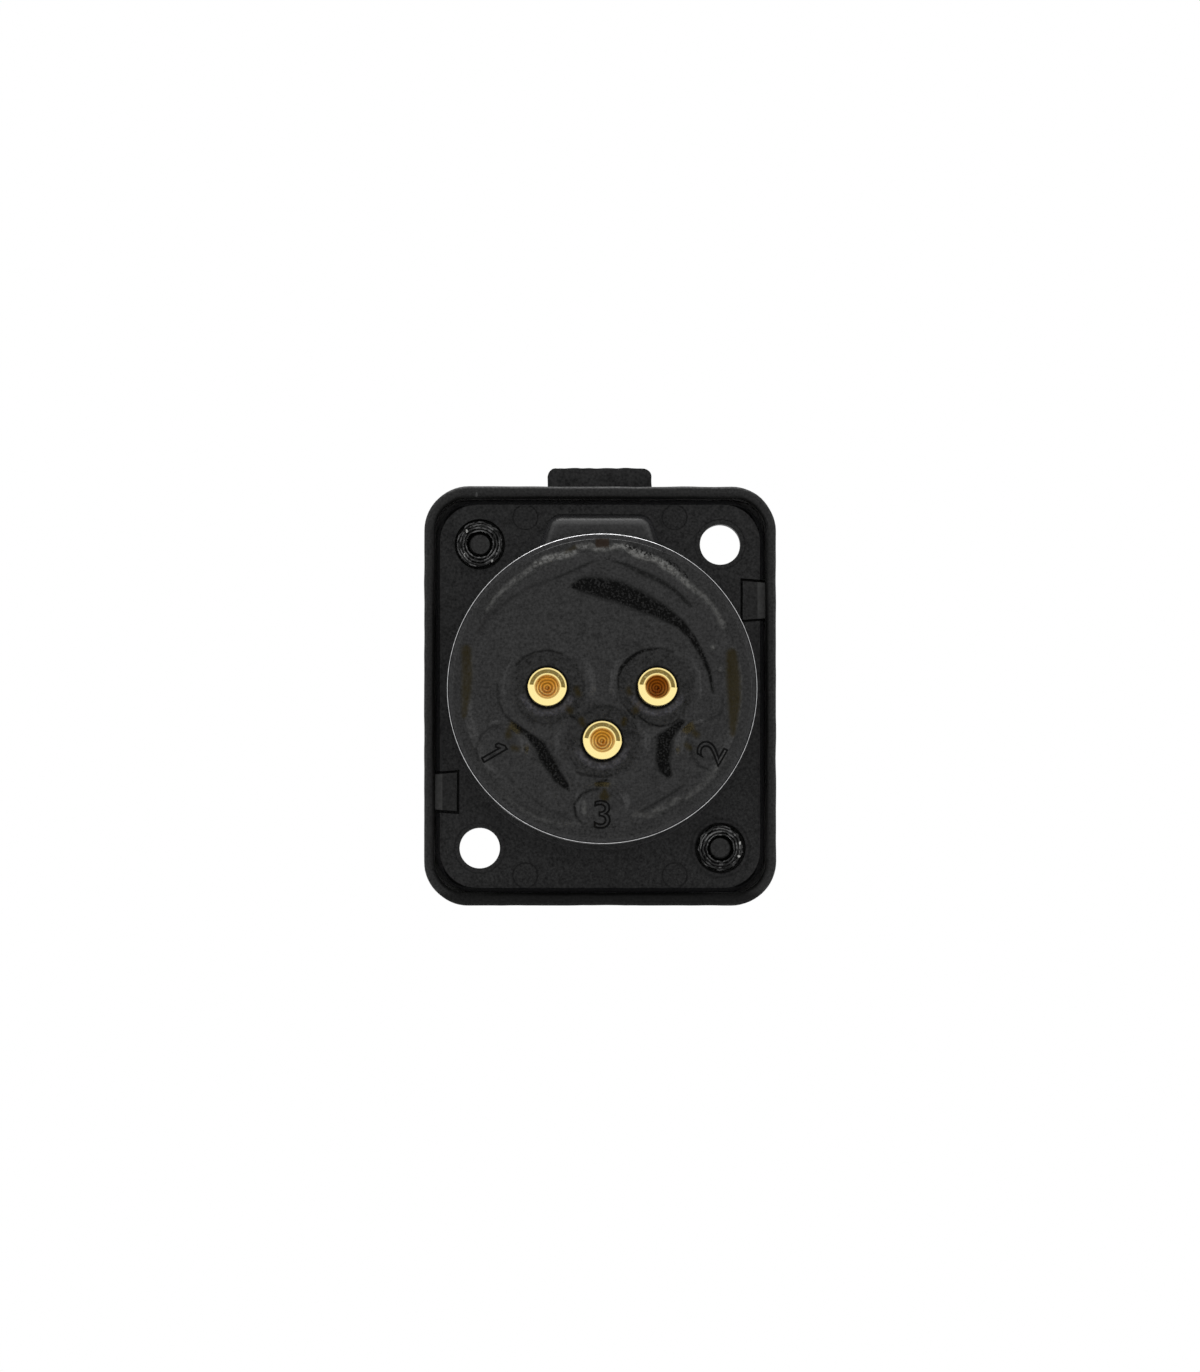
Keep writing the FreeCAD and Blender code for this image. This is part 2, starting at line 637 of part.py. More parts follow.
def make_flange_boot():
    """Moulded seal round the flange: front skin, rim, tubular pegs and clip tabs."""
    body = new_body("flange_boot")
    outline = facing(body, "boot_outline", 0.0)
    draw_outline(outline, centred(boot_width, boot_height, S.boot_corner))
    add_forward(body, "boot_block", outline, -boot_front)

    lip = facing(body, "lip_outline", boot_front)
    mouth = S.plug_bore + S.boot_mouth_gap
    draw_circle(lip, 0.0, 0.0, mouth + S.lip_width)
    add_forward(body, "lip", lip, S.lip_height)
    lip_edges = edge_names(body.Tip, circle_at(boot_front - S.lip_height, mouth + S.lip_width))
    dress(body, "Fillet", "lip_round", lip_edges, S.lip_height * LIP_ROUND)

    recess = facing(body, "flange_recess_outline", flange_front)
    draw_outline(recess, centred(flange_width + 2 * S.boot_gap, flange_height + 2 * S.boot_gap,
                                 S.recess_corner))
    cut_backward(body, "flange_recess", recess, -flange_front)

    opening = facing(body, "mouth_outline", boot_front - S.lip_height)
    draw_circle(opening, 0.0, 0.0, mouth)
    cut_backward(body, "mouth", opening, S.boot_skin + S.lip_height)

    notch = facing(body, "latch_notch_outline", boot_front - S.lip_height)
    draw_outline(notch, rectangle(-cavity_width / 2, cavity_width / 2,
                                  S.plug_bore - BORE_OVERRUN, cavity_top))
    cut_backward(body, "latch_notch", notch, S.boot_skin + S.lip_height)

    heads = facing(body, "screw_head_outline", boot_front - S.lip_height)
    for across, up in screw_places:
        draw_circle(heads, across, up, S.screw_head)
    cut_backward(body, "screw_heads", heads, S.boot_skin + S.lip_height)

    pegs = facing(body, "peg_outline", floor + S.peg_rise)
    for across, up in peg_places:
        draw_circle(pegs, across, up, S.peg_radius)
    add_forward(body, "pegs", pegs, floor + S.peg_rise - flange_front + S.boot_skin / 2)

    grooves = facing(body, "peg_groove_outline", floor + S.peg_rise - S.peg_groove_depth)
    for across, up in peg_places:
        draw_circle(grooves, across, up, S.peg_groove_outer)
        draw_circle(grooves, across, up, S.peg_groove_inner)
    cut_backward(body, "peg_grooves", grooves, S.peg_groove_depth)

    tabs = facing(body, "clip_tab_outline", floor)
    for side in (-1, 1):
        inner = side * (flange_width / 2 - S.clip_reach + S.clip_gap)
        outer = side * (flange_width / 2 + 4 * S.boot_gap)
        middle = -side * clip_drop
        draw_outline(tabs, (
            (inner, middle - S.clip_inner / 2 + S.clip_gap),
            (outer, middle - S.clip_outer / 2 + S.clip_gap),
            (outer, middle + S.clip_outer / 2 - S.clip_gap),
            (inner, middle + S.clip_inner / 2 - S.clip_gap),
        ))
    add_forward(body, "clip_tabs", tabs, S.flange_thickness + S.boot_skin / 2)

    dress(body, "Fillet", "rim_round", edge_names(body.Tip, flat_at(0.0)), S.boot_rear_round)

    def front_edge(edge):
        box = edge.BoundBox
        flat = abs(box.YMin - worth(boot_front)) < 1e-4 and abs(box.YMax - worth(boot_front)) < 1e-4
        middle = edge.CenterOfMass
        far = abs(middle.x) > worth(boot_width) / 2 - worth(S.boot_corner)
        high = abs(middle.z) > worth(boot_height) / 2 - worth(S.boot_corner)
        return flat and (far or high) and edge.Length > 2 and not (
            isinstance(edge.Curve, Part.Circle) and abs(edge.Curve.Radius - worth(S.boot_corner)) > 1e-4)
    dress(body, "Fillet", "front_edge_round", edge_names(body.Tip, front_edge), S.boot_front_round)
    return body


def make_contact_insert():
    """Front insulator: a nose inside the plug's shell, on a base that seats on the barrel's shoulder."""
    body = new_body("contact_insert")
    section = lengthwise(body, "insert_section")
    groove_bottom = insulator_radius - S.oring_groove
    middle = S.plug_depth + S.insert_base / 2
    half = S.oring_section + S.oring_play
    draw_outline(section, (
        (insert_front, 0.0),
        (base_rear, 0.0),
        (base_rear, insulator_radius),
        (middle + half, insulator_radius),
        (middle + half, groove_bottom),
        (middle - half, groove_bottom),
        (middle - half, insulator_radius),
        (S.plug_depth, insulator_radius),
        (S.plug_depth, insert_radius),
        (insert_front + S.insert_edge, insert_radius),
        (insert_front, insert_radius - S.insert_edge),
    ))
    add_turned(body, "insert", section)

    keyway = facing(body, "keyway_outline", insert_front)
    draw_outline(keyway, rectangle(-S.keyway_width / 2, S.keyway_width / 2,
                                   insert_radius - S.keyway_depth, insert_radius + S.keyway_depth))
    cut_backward(body, "keyway", keyway, S.plug_depth - insert_front)

    entries = facing(body, "entry_outline", insert_front)
    for across, up in contact_places.values():
        draw_circle(entries, across, up, S.entry_radius)
    cut_backward(body, "entries", entries, base_rear - insert_front)
    dress(body, "Chamfer", "entry_edges", edge_names(body.Tip, circle_at(insert_front, S.entry_radius)),
          S.entry_edge)

    chambers = facing(body, "chamber_outline", chamber_front)
    for across, up in contact_places.values():
        draw_circle(chambers, across, up, S.chamber_radius)
    cut_backward(body, "chambers", chambers, base_rear - chamber_front)

    collar_room = S.collar_length + S.collar_gap
    collars = facing(body, "collar_room_outline", base_rear - collar_room)
    for across, up in contact_places.values():
        draw_circle(collars, across, up, S.collar_radius + S.collar_gap)
    cut_backward(body, "collar_rooms", collars, collar_room)

    key_play = S.key_slot_width / 2 - S.insert_gap
    key = facing(body, "key_outline", base_rear)
    draw_outline(key, rectangle(-key_play, key_play, groove_bottom - KEY_ROOT,
                                rear_bore + S.key_slot_depth - S.insert_gap))
    add_forward(body, "key", key, S.insert_base / 2 - half)
    return body


def make_rear_carrier():
    """Rear insulator: a plate that locks the contacts, with bosses and number pads."""
    body = new_body("rear_carrier")
    plate = facing(body, "plate_outline", plate_rear)
    draw_circle(plate, 0.0, 0.0, insulator_radius)
    add_forward(body, "plate", plate, S.carrier_thickness)

    bosses = facing(body, "boss_outline", resin_top + S.boss_proud)
    for across, up in contact_places.values():
        draw_circle(bosses, across, up, S.boss_radius)
    add_forward(body, "bosses", bosses, resin_top + S.boss_proud - base_rear - S.carrier_thickness / 2)

    pads = facing(body, "pad_outline", resin_top + S.pad_proud)
    for across, up in pad_places:
        draw_circle(pads, across, up, S.pad_radius)
    add_forward(body, "pads", pads, resin_top + S.pad_proud - base_rear)

    notches = facing(body, "notch_outline", base_rear)
    for side in (-1, 1):
        draw_outline(notches, rectangle(side * (insulator_radius - S.notch_depth), side * barrel_radius,
                                        S.notch_low, S.notch_high))
    cut_backward(body, "notches", notches, S.carrier_thickness)

    bores = facing(body, "boss_bore_outline", base_rear)
    for across, up in contact_places.values():
        draw_circle(bores, across, up, S.cup_radius + S.boss_gap)
    cut_backward(body, "boss_bores", bores, resin_top + S.boss_proud - base_rear)
    return body


def make_potting_seal(carrier):
    """Resin that fills the barrel's rear round the bosses, the pads and the locating slot."""
    disc = document.addObject("Part::Cylinder", "resin_disc")
    disc.Placement = FreeCAD.Placement(FreeCAD.Vector(0, worth(base_rear), 0),
                                       FreeCAD.Rotation(FreeCAD.Vector(1, 0, 0), -90))
    bind(disc, "Placement.Base.y", base_rear)
    bind(disc, "Radius", rear_bore)
    bind(disc, "Height", resin_top - base_rear)
    key = document.addObject("Part::Box", "resin_key")
    bind(key, "Length", S.key_slot_width)
    bind(key, "Width", resin_top - base_rear)
    bind(key, "Height", rear_bore / 2 + S.key_slot_depth)
    bind(key, "Placement.Base.x", -S.key_slot_width / 2)
    bind(key, "Placement.Base.y", base_rear)
    bind(key, "Placement.Base.z", rear_bore / 2)
    holes = []
    for name, (across, up) in contact_places.items():
        hole = document.addObject("Part::Cylinder", "resin_hole_" + name)
        hole.Placement = FreeCAD.Placement(FreeCAD.Vector(worth(across), worth(base_rear), worth(up)),
                                           FreeCAD.Rotation(FreeCAD.Vector(1, 0, 0), -90))
        bind(hole, "Placement.Base.x", across)
        bind(hole, "Placement.Base.y", base_rear - S.insert_gap)
        bind(hole, "Placement.Base.z", up)
        bind(hole, "Radius", S.boss_radius - S.insert_gap)
        bind(hole, "Height", resin_top - base_rear + 2 * S.insert_gap)
        holes.append(hole)
    block = document.addObject("Part::Fuse", "resin_block")
    block.Base = disc
    block.Tool = key
    taken = document.addObject("Part::MultiFuse", "resin_taken")
    taken.Shapes = holes + [carrier]
    resin = document.addObject("Part::Cut", "potting_seal")
    resin.Base = block
    resin.Tool = taken
    resin.Label = "potting_seal"
    document.recompute()
    return resin


def make_contact(name, across, up):
    """Turned contact: slotted socket, locking collar and solder cup with its upper half cut back."""
    body = new_body("contact_" + name)
    section = lengthwise(body, "contact_section", across, up)
    collar_front = base_rear - S.collar_length
    socket_end = socket_front + S.socket_depth
    cup_end = cup_rear - S.cup_depth
    entry = (S.socket_radius - S.socket_bore) / 2
    draw_outline(section, (
        (socket_front, S.socket_bore + entry),
        (socket_front + entry, S.socket_bore),
        (socket_end, S.socket_bore),
        (socket_end + S.drill_point, 0.0),
        (cup_end - S.drill_point, 0.0),
        (cup_end, S.cup_bore),
        (cup_rear, S.cup_bore),
        (cup_rear, S.cup_radius),
        (base_rear, S.cup_radius),
        (base_rear, S.collar_radius),
        (collar_front, S.collar_radius),
        (collar_front, S.socket_radius),
        (socket_front, S.socket_radius),
    ))
    add_turned(body, "contact_body", section)

    reach = 2 * S.socket_radius
    for number, turned in enumerate((0.0, 90.0)):
        slot = facing(body, "tine_slot_outline_%d" % number, socket_front, across, up, turned)
        draw_outline(slot, centred(reach * 1.2, S.tine_slot_width))
        cut_backward(body, "tine_slot_%d" % number, slot, S.tine_slot_depth)

    cup = facing(body, "cup_cut_outline", cup_rear - S.cup_cutback, across, up, S.cup_turn)
    draw_outline(cup, rectangle(-reach, reach, 0.0, reach))
    cut_backward(body, "cup_cut", cup, S.cup_cutback)
    return body


def make_contact_hood(name, across, up):
    """Steel sleeve round the slotted end of a contact."""
    body = new_body("contact_hood_" + name)
    section = lengthwise(body, "hood_section", across, up)
    inner = S.socket_radius + S.hood_gap
    front = socket_front - S.hood_wall - S.hood_gap
    draw_outline(section, (
        (front, inner - S.hood_lip),
        (front + S.hood_wall, inner - S.hood_lip),
        (front + S.hood_wall, inner),
        (front + S.hood_length, inner),
        (front + S.hood_length, inner + S.hood_wall),
        (front, inner + S.hood_wall),
    ))
    add_turned(body, "hood", section)
    return body


def make_plug_face_seal():
    """Rubber ring that the end of the plug's shell presses on."""
    body = new_body("plug_face_seal")
    section = lengthwise(body, "face_seal_section")
    inner = insert_radius + S.face_seal_gap
    outer = S.plug_bore - S.face_seal_gap
    middle = (inner + outer) / 2
    front = S.plug_depth - S.face_seal_thickness
    draw_outline(section, (
        (S.plug_depth, inner),
        (S.plug_depth, outer),
        (front + S.face_seal_thickness / 2, outer),
        (front, middle + S.face_seal_thickness / 4),
        (front, middle - S.face_seal_thickness / 4),
        (front + S.face_seal_thickness / 2, inner),
    ))
    add_turned(body, "face_seal", section)
    return body


def make_insert_oring():
    """Ring seal between the insert's base and the barrel."""
    body = new_body("insert_oring")
    section = lengthwise(body, "oring_section")
    draw_circle(section, S.plug_depth + S.insert_base / 2,
                insulator_radius - S.oring_groove + S.oring_section + S.oring_play / 2, S.oring_section)
    add_turned(body, "oring", section)
    return body


def make_latch_lever():
    """Lever on the pivot pin: arm with the tooth behind it, plate for the push tab in front."""
    body = new_body("latch_lever")
    knuckle = lengthwise(body, "knuckle_section")
    draw_circle(knuckle, pivot_place, pivot_height, knuckle_radius)
    add_both_ways(body, "knuckle", knuckle, S.neck_width)

    neck = lengthwise(body, "neck_section")
    plate_front = plate_rear_face - S.plate_thickness
    draw_outline(neck, rectangle(plate_front, pivot_place, pivot_height - S.neck_thickness / 2,
                                 pivot_height + S.neck_thickness / 2))
    add_both_ways(body, "neck", neck, S.neck_width)

    arm = lengthwise(body, "arm_section")
    leg_front = pivot_place - S.leg_thickness / 2
    leg_rear = pivot_place + S.leg_thickness / 2
    tip = S.plug_bore - S.tooth_bite
    tip_front = S.tooth_rear - S.tooth_flat
    draw_outline(arm, (
        (leg_front, pivot_height),
        (leg_front, arm_bottom),
        (tip_front - S.tooth_slope, arm_bottom),
        (tip_front, tip),
        (S.tooth_rear, tip),
        (S.tooth_rear, arm_top),
        (leg_rear, arm_top),
        (leg_rear, pivot_height),
    ))
    add_both_ways(body, "arm", arm, S.arm_width)

    plate = facing(body, "tab_plate_outline", plate_rear_face)
    low = pivot_height - S.neck_thickness / 2
    high = tab_top - S.tab_wall - S.plate_play
    draw_outline(plate, rectangle(-S.plate_width / 2, S.plate_width / 2, low, high, S.tab_corner / 2))
    add_forward(body, "tab_plate", plate, S.plate_thickness)

    hole = lengthwise(body, "pin_hole_section")
    draw_circle(hole, pivot_place, pivot_height, S.pin_radius + S.pin_play)
    cut_both_ways(body, "pin_hole", hole, 2 * S.neck_width)
    return body


def make_push_cap():
    """Moulded cap on the lever's plate, with grip grooves across its front."""
    body = new_body("push_cap")
    outline = facing(body, "cap_outline", tab_rear)
    draw_outline(outline, rectangle(-S.tab_width / 2, S.tab_width / 2,
                                    pivot_height - S.tab_drop, tab_top, S.tab_corner))
    add_forward(body, "cap", outline, S.tab_thickness)

    room = facing(body, "plate_room_outline", plate_rear_face - S.plate_thickness - S.plate_play)
    side = S.plate_width / 2 + S.plate_play
    low = pivot_height - S.neck_thickness / 2 - S.plate_play
    draw_outline(room, rectangle(-side, side, low, tab_top - S.tab_wall))
    cut_backward(body, "plate_room", room, S.plate_thickness + 2 * S.plate_play)

    window = facing(body, "neck_window_outline", plate_rear_face - S.plate_play)
    neck_side = S.neck_width / 2 + S.plate_play
    draw_outline(window, rectangle(-neck_side, neck_side, low, low + S.neck_thickness + 2 * S.plate_play))
    cut_backward(body, "neck_window", window, S.tab_wall + 2 * S.plate_play)

    ribs = lengthwise(body, "grip_section")
    front = tab_rear - S.tab_thickness
    for step in range(4):
        low_edge = tab_top - S.tab_corner - (step + 1) * S.rib_pitch
        draw_outline(ribs, (
            (front, low_edge),
            (front + S.rib_depth, low_edge + S.rib_pitch / 4),
            (front, low_edge + S.rib_pitch / 2),
        ))
    cut_both_ways(body, "grip_grooves", ribs, S.tab_width - 2 * S.tab_corner)
    return body


def make_latch_pivot_pin():
    """Steel pin in the housing's seat."""
    body = new_body("latch_pivot_pin")
    section = lengthwise(body, "pin_section")
    draw_circle(section, pivot_place, pivot_height, S.pin_radius)
    add_both_ways(body, "pin", section, S.pin_length)
    ends = edge_names(body.Tip, lambda edge: abs(abs(edge.CenterOfMass.x) - worth(S.pin_length) / 2) < 1e-4)
    dress(body, "Chamfer", "pin_ends", ends, S.pin_radius / 5)
    return body


def make_latch_spring():
    """Bent leaf: held in the kerf behind the slot, it rests on the lever's arm."""
    body = new_body("latch_spring")
    section = lengthwise(body, "leaf_section")
    anchor_top = slot_roof - S.leaf_play
    toe_low = arm_top + S.leaf_play
    bend = S.tooth_rear
    corners = (
        (slot_end + S.leaf_anchor, anchor_top),
        (bend, anchor_top),
        (S.leaf_toe, toe_low + S.leaf_thickness),
        (S.leaf_toe - 2 * S.leaf_curl, toe_low + S.leaf_thickness + S.leaf_curl),
    )
    under = tuple((place, height - S.leaf_thickness) for place, height in reversed(corners))
    draw_outline(section, corners + under)
    add_both_ways(body, "leaf", section, S.leaf_width)
    return body


pieces = [make_flange_housing(), make_flange_boot(), make_contact_insert()]
rear_carrier = make_rear_carrier()
pieces += [rear_carrier, make_potting_seal(rear_carrier)]
for name, (across, up) in contact_places.items():
    pieces.append(make_contact(name, across, up))
    pieces.append(make_contact_hood(name, across, up))
pieces += [make_plug_face_seal(), make_insert_oring()]
pieces += [make_latch_lever(), make_push_cap(), make_latch_pivot_pin(), make_latch_spring()]

document.recompute()
for item in document.Objects:
    if "Invalid" in item.State or "Error" in item.State:
        raise RuntimeError("%s could not be made: %s" % (item.Name, item.State))
for piece in pieces:
    if piece.Shape.isNull() or not piece.Shape.isValid():
        raise RuntimeError("%s has no valid shape" % piece.Label)
for piece in pieces:
    piece.Shape.exportStep("parts/%s.step" % piece.Label)
    print("%-18s solids %d  volume %8.2f" % (piece.Label, len(piece.Shape.Solids), piece.Shape.Volume))
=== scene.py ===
"""Looks and studio for a panel-mount receptacle with a push latch and a potted rear.

The connector's axis is Y, its solder side faces +Y and its push tab is up, at +Z.
"""
import json
import math

import bmesh
import bpy
import numpy
from mathutils import Matrix, Vector, noise


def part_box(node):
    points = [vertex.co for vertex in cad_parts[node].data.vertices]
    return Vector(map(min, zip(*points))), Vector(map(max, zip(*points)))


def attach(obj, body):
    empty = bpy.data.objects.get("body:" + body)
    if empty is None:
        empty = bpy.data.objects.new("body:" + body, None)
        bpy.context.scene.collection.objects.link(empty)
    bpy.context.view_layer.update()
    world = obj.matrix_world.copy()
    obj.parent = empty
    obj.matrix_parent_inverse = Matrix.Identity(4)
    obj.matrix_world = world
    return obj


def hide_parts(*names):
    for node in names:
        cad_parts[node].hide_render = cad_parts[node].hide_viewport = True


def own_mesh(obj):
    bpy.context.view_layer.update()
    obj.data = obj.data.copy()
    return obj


bl_info = {
    "name": "Panel receptacle looks",
    "version": (1, 0, 0),
    "blender": (4, 5, 0),
    "location": "3D View > Sidebar > Receptacle",
    "description": "Finishes, fine pieces and studio for a panel-mount receptacle",
    "category": "Object",
}

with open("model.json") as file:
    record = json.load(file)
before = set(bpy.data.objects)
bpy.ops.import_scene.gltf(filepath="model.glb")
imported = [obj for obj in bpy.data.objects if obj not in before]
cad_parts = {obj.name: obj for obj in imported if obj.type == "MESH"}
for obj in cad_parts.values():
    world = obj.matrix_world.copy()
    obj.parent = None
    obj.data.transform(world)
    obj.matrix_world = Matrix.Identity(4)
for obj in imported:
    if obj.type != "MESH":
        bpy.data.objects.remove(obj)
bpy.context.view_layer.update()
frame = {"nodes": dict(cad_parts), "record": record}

MM = 0.001
NODES = frame["nodes"]
CUPS = {
    mount["name"][-1]: (mount["pos_m"][0] / MM, mount["pos_m"][2] / MM)
    for mount in frame["record"]["mounts"] if mount["name"].startswith("solder_cup")
}
BARREL_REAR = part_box("flange_housing")[1].y / MM
RESIN_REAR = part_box("potting_seal")[1].y / MM
RESIN_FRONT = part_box("potting_seal")[0].y / MM
RESIN_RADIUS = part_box("potting_seal")[1].x / MM
PAD_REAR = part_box("rear_carrier")[1].y / MM
CUP_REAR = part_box("contact_1")[1].y / MM
BOOT_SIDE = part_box("flange_boot")[1].x / MM
BOOT_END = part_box("flange_boot")[1].z / MM

# Sizes in mm that the frame's boxes don't give. Places are (X, Z); seen from behind, X points left.
BARREL_RADIUS = 11.8
BARREL_EDGE = 0.12
FLOOR = -1.2
FLANGE_SIDE = 13.0
FLANGE_END = 15.5
FAIRING_TOP = 13.68
KEY_SLOT_HALF = 0.5
KEY_SLOT_RADIUS = 11.33
KEY_SLOT_BOTTOM = 10.66
BOSS_RADIUS = 2.85
BOSS_RISE = 0.3
PAD_RADIUS = 1.5
PAD_CIRCLE = 9.2
PAD_ANGLES = {"1": 210.0, "2": 330.0, "3": 270.0}
CUP_RADIUS = 1.475
CUP_BORE = 0.9
CUP_CUT = 2.6
PEG_PLACES = ((9.5, 12.0), (-9.5, -12.0))
PEG_REAR = -0.95
SCREW_PLACES = ((-9.5, 12.0), (9.5, -12.0))
SCREW_RING = 1.98
EJECTOR_PLACES = ((5.9, 14.15), (-5.9, 14.15), (5.9, -14.15), (-5.9, -14.15))
EJECTOR_RING = 0.98
BOOT_CORNER = 3.5

# Sizes in mm of what this script adds.
SKIN = 0.02           # resin over the bosses and the pads
FILM = 0.012          # resin over the barrel's rear face
FILM_RADIUS = 11.42
DIGIT_CIRCLE = 9.57

LETTER_HEIGHT = 1.47  # letter size for a number that is 1 high
LETTER_WIDTH = 1.09

# Fineness of the meshes.
RESIN_RINGS = 100
RESIN_STEPS = 540
TEAR_STEPS = 180
HALVINGS = 8          # how often long edges may be halved
SAME_CORNER = 1e-7    # corners as near as this are one, in metres
SAME_CORNER_MM = 1e-5

# Colours that a finish mixes in.
BARE_METAL = (0.92, 0.92, 0.93)
BUBBLES = (0.13, 0.13, 0.125)
# Painted highlight below each cup.
MOON_HIGHLIGHT = (0.12, 0.12, 0.15)
KEY_BROWN = (0.018, 0.0115, 0.0075)
CUT_DARK = (0.035, 0.025, 0.006)
CUT_LIGHT = (0.27, 0.2, 0.06)
LIP_GOLD = (0.62, 0.37, 0.11)
SIDE_GOLD = (0.6, 0.4, 0.1)
CUP_FLOORS = {"1": (0.85, 0.56, 0.18), "2": (0.28, 0.125, 0.026), "3": (0.9, 0.6, 0.2)}
# Grey of the painted glints on the torn pegs.
GLINT_GREY = (0.14, 0.14, 0.14)
NICK_WHITE = (0.55, 0.55, 0.53)

# Torn end of a peg as a closed outline of (radius in mm, share of the tear's height).
TEAR_OUTLINE = ((1.0, -0.35), (1.03, 0.3), (1.1, 0.95), (1.18, 0.15), (1.3, 0.1), (1.4, 0.85), (1.47, 0.1),
                (1.58, 0.15), (1.68, 1.0), (1.76, 0.5), (1.8, -0.35))
# White nicks: number of the peg, place from its middle (X, Z) and half widths.
TEAR_NICKS = ((0, 1.03, 1.03, 0.1, 0.14), (0, 1.2, -0.85, 0.07, 0.16), (0, -0.98, -1.35, 0.08, 0.16),
              (1, -1.55, 0.4, 0.07, 0.14), (1, -1.45, -0.65, 0.12, 0.1))
# The one nick in the seal's rim: place (X, Z) and half widths.
RIM_NICK = (9.75, 15.85, 0.1, 0.2)

# Name, place in metres, size in metres and power in watts.
LAMPS = (
    ("overhead_lamp", (0.03, 0.02, 0.62), 0.5, 3.5),
    ("left_lamp", (0.5, 0.42, 0.12), 0.4, 0.3),
    ("right_lamp", (-0.5, 0.42, 0.12), 0.4, 0.3),
    ("front_lamp", (0.25, -0.6, 0.35), 0.5, 1.6),
)

# The number 1 as (right, up) in shares of its height.
NUMBER_ONE = ((0.085, -0.5), (0.085, 0.5), (-0.05, 0.5), (-0.27, 0.33), (-0.27, 0.21), (-0.2, 0.17),
              (-0.085, 0.27), (-0.085, -0.5))

# Marks on the resin seen from behind, in mm from the axis: strength, then points (right, up, half width).
# The first are dark and smooth: painted reflections and painted shade lines. The next are whitish with
# bubbles, with one painted highlight beside pad 3. The last let light through.
PAINTED_SHADE_AND_REFLECTION_MARKS = (
    (1.0, ((-2.12, 7.84, 0.23), (-1.43, 7.92, 0.57), (-0.14, 7.73, 0.78), (1.39, 7.34, 0.81),
          (2.91, 6.66, 0.74), (4.43, 5.94, 0.59), (5.96, 4.95, 0.35), (6.87, 3.88, 0.26),
          (7.63, 2.58, 0.19), (8.17, 1.29, 0.14), (8.43, -0.23, 0.08))),
    (1.0, ((-6.76, -2.59, 0.11), (-5.47, -3.66, 0.25), (-4.71, -4.35, 0.42), (-4.29, -5.26, 0.50),
          (-3.79, -6.02, 0.43), (-3.33, -6.78, 0.41), (-2.80, -7.35, 0.26), (-2.57, -7.70, 0.09))),
    (0.7, ((-7.98, 0.38, 0.08), (-7.90, -0.92, 0.06), (-7.45, -1.99, 0.07), (-6.76, -2.59, 0.09))),
    (1.0, ((6.03, -2.56, 0.22), (5.35, -3.20, 0.34), (4.74, -3.81, 0.54), (4.70, -4.58, 0.57),
          (4.59, -5.34, 0.52), (4.74, -6.02, 0.46), (5.04, -6.48, 0.29))),
    (0.9, ((-0.36, -7.16, 0.08), (0.32, -6.94, 0.10))),
    (1.0, ((1.75, 10.92, 0.13), (2.6, 10.60, 0.17), (3.4, 10.22, 0.20), (4.2, 9.98, 0.17),
          (5.6, 9.36, 0.13), (6.5, 8.50, 0.10))),
    (0.9, ((-2.38, -2.06, 0.11), (-2.08, -2.25, 0.09))),
    (0.9, ((2.00, -1.68, 0.07), (2.49, -2.21, 0.08))),
    (0.75, ((-3.49, 8.45, 0.05), (-2.42, 8.91, 0.07), (-1.28, 9.44, 0.08), (-0.44, 9.78, 0.07))),
    (0.65, ((-0.44, 9.78, 0.07), (0.32, 9.90, 0.09), (1.54, 9.59, 0.15), (2.91, 8.91, 0.20),
          (4.28, 8.30, 0.20), (5.50, 7.53, 0.17), (6.72, 6.32, 0.15))),
    (0.3, ((-3.49, 8.45, 0.09), (-5.47, 7.76, 0.15), (-7.14, 6.77, 0.17), (-8.51, 5.71, 0.15),
          (-9.43, 4.34, 0.14))),
    (0.8, ((-6.50, 1.86, 0.10), (-6.00, 2.39, 0.08), (-5.09, 2.81, 0.07), (-4.02, 2.93, 0.06),
          (-3.11, 2.66, 0.05))),
    (0.95, ((1.24, -0.08, 0.05), (1.24, 0.91, 0.09), (1.46, 1.59, 0.14), (2.00, 2.20, 0.17),
          (2.61, 2.66, 0.15), (3.29, 2.96, 0.11), (4.43, 3.08, 0.07), (5.42, 2.81, 0.05))),
    (0.55, ((1.24, -0.08, 0.05), (1.46, -1.00, 0.06), (2.07, -1.76, 0.06))),
    (0.45, ((3.14, 2.89, 0.08), (2.38, 3.65, 0.06))),
    (0.9, ((2.83, -2.10, 0.06), (3.52, -2.67, 0.08), (4.36, -2.86, 0.09), (5.27, -2.71, 0.08),
          (5.88, -2.25, 0.05))),
    (0.75, ((-1.96, -6.36, 0.06), (-0.97, -6.63, 0.08), (0.09, -6.71, 0.08), (0.78, -6.59, 0.05))),
    (0.85, ((-1.51, -10.29, 0.05), (-2.00, -9.68, 0.08), (-2.12, -8.84, 0.11), (-1.66, -8.15, 0.11),
          (-1.05, -7.77, 0.09), (-0.29, -7.62, 0.06))),
    (0.5, ((9.16, -0.69, 0.06), (9.04, -1.91, 0.08), (8.17, -2.33, 0.08), (7.02, -2.90, 0.06))),
    (0.6, ((2.83, -9.37, 0.08), (4.21, -8.61, 0.10), (5.35, -7.93, 0.09), (6.26, -7.32, 0.06))),
    (0.5, ((-1.35, -2.06, 0.05), (-0.74, -1.53, 0.06), (0.09, -1.30, 0.06), (1.01, -1.45, 0.06),
          (1.54, -1.91, 0.05))),
    (0.5, ((-6.38, -1.53, 0.05), (-5.54, -2.29, 0.06), (-4.48, -2.71, 0.07), (-3.49, -2.59, 0.05))),
    (0.3, ((-7.52, -6.33, 0.06), (-6.08, -7.85, 0.07), (-4.32, -9.07, 0.07), (-2.27, -10.06, 0.06))),
    (0.3, ((-8.21, -7.09, 0.06), (-6.61, -8.61, 0.07), (-4.71, -9.75, 0.07))),
    (0.7, ((6.72, -4.27, 0.06), (6.87, -5.18, 0.07), (7.40, -5.87, 0.07), (8.17, -6.17, 0.06))),
    (0.6, ((-9.43, -5.41, 0.06), (-9.58, -4.50, 0.07), (-9.20, -3.51, 0.07), (-8.44, -2.90, 0.06),
          (-7.68, -2.75, 0.05))),
)
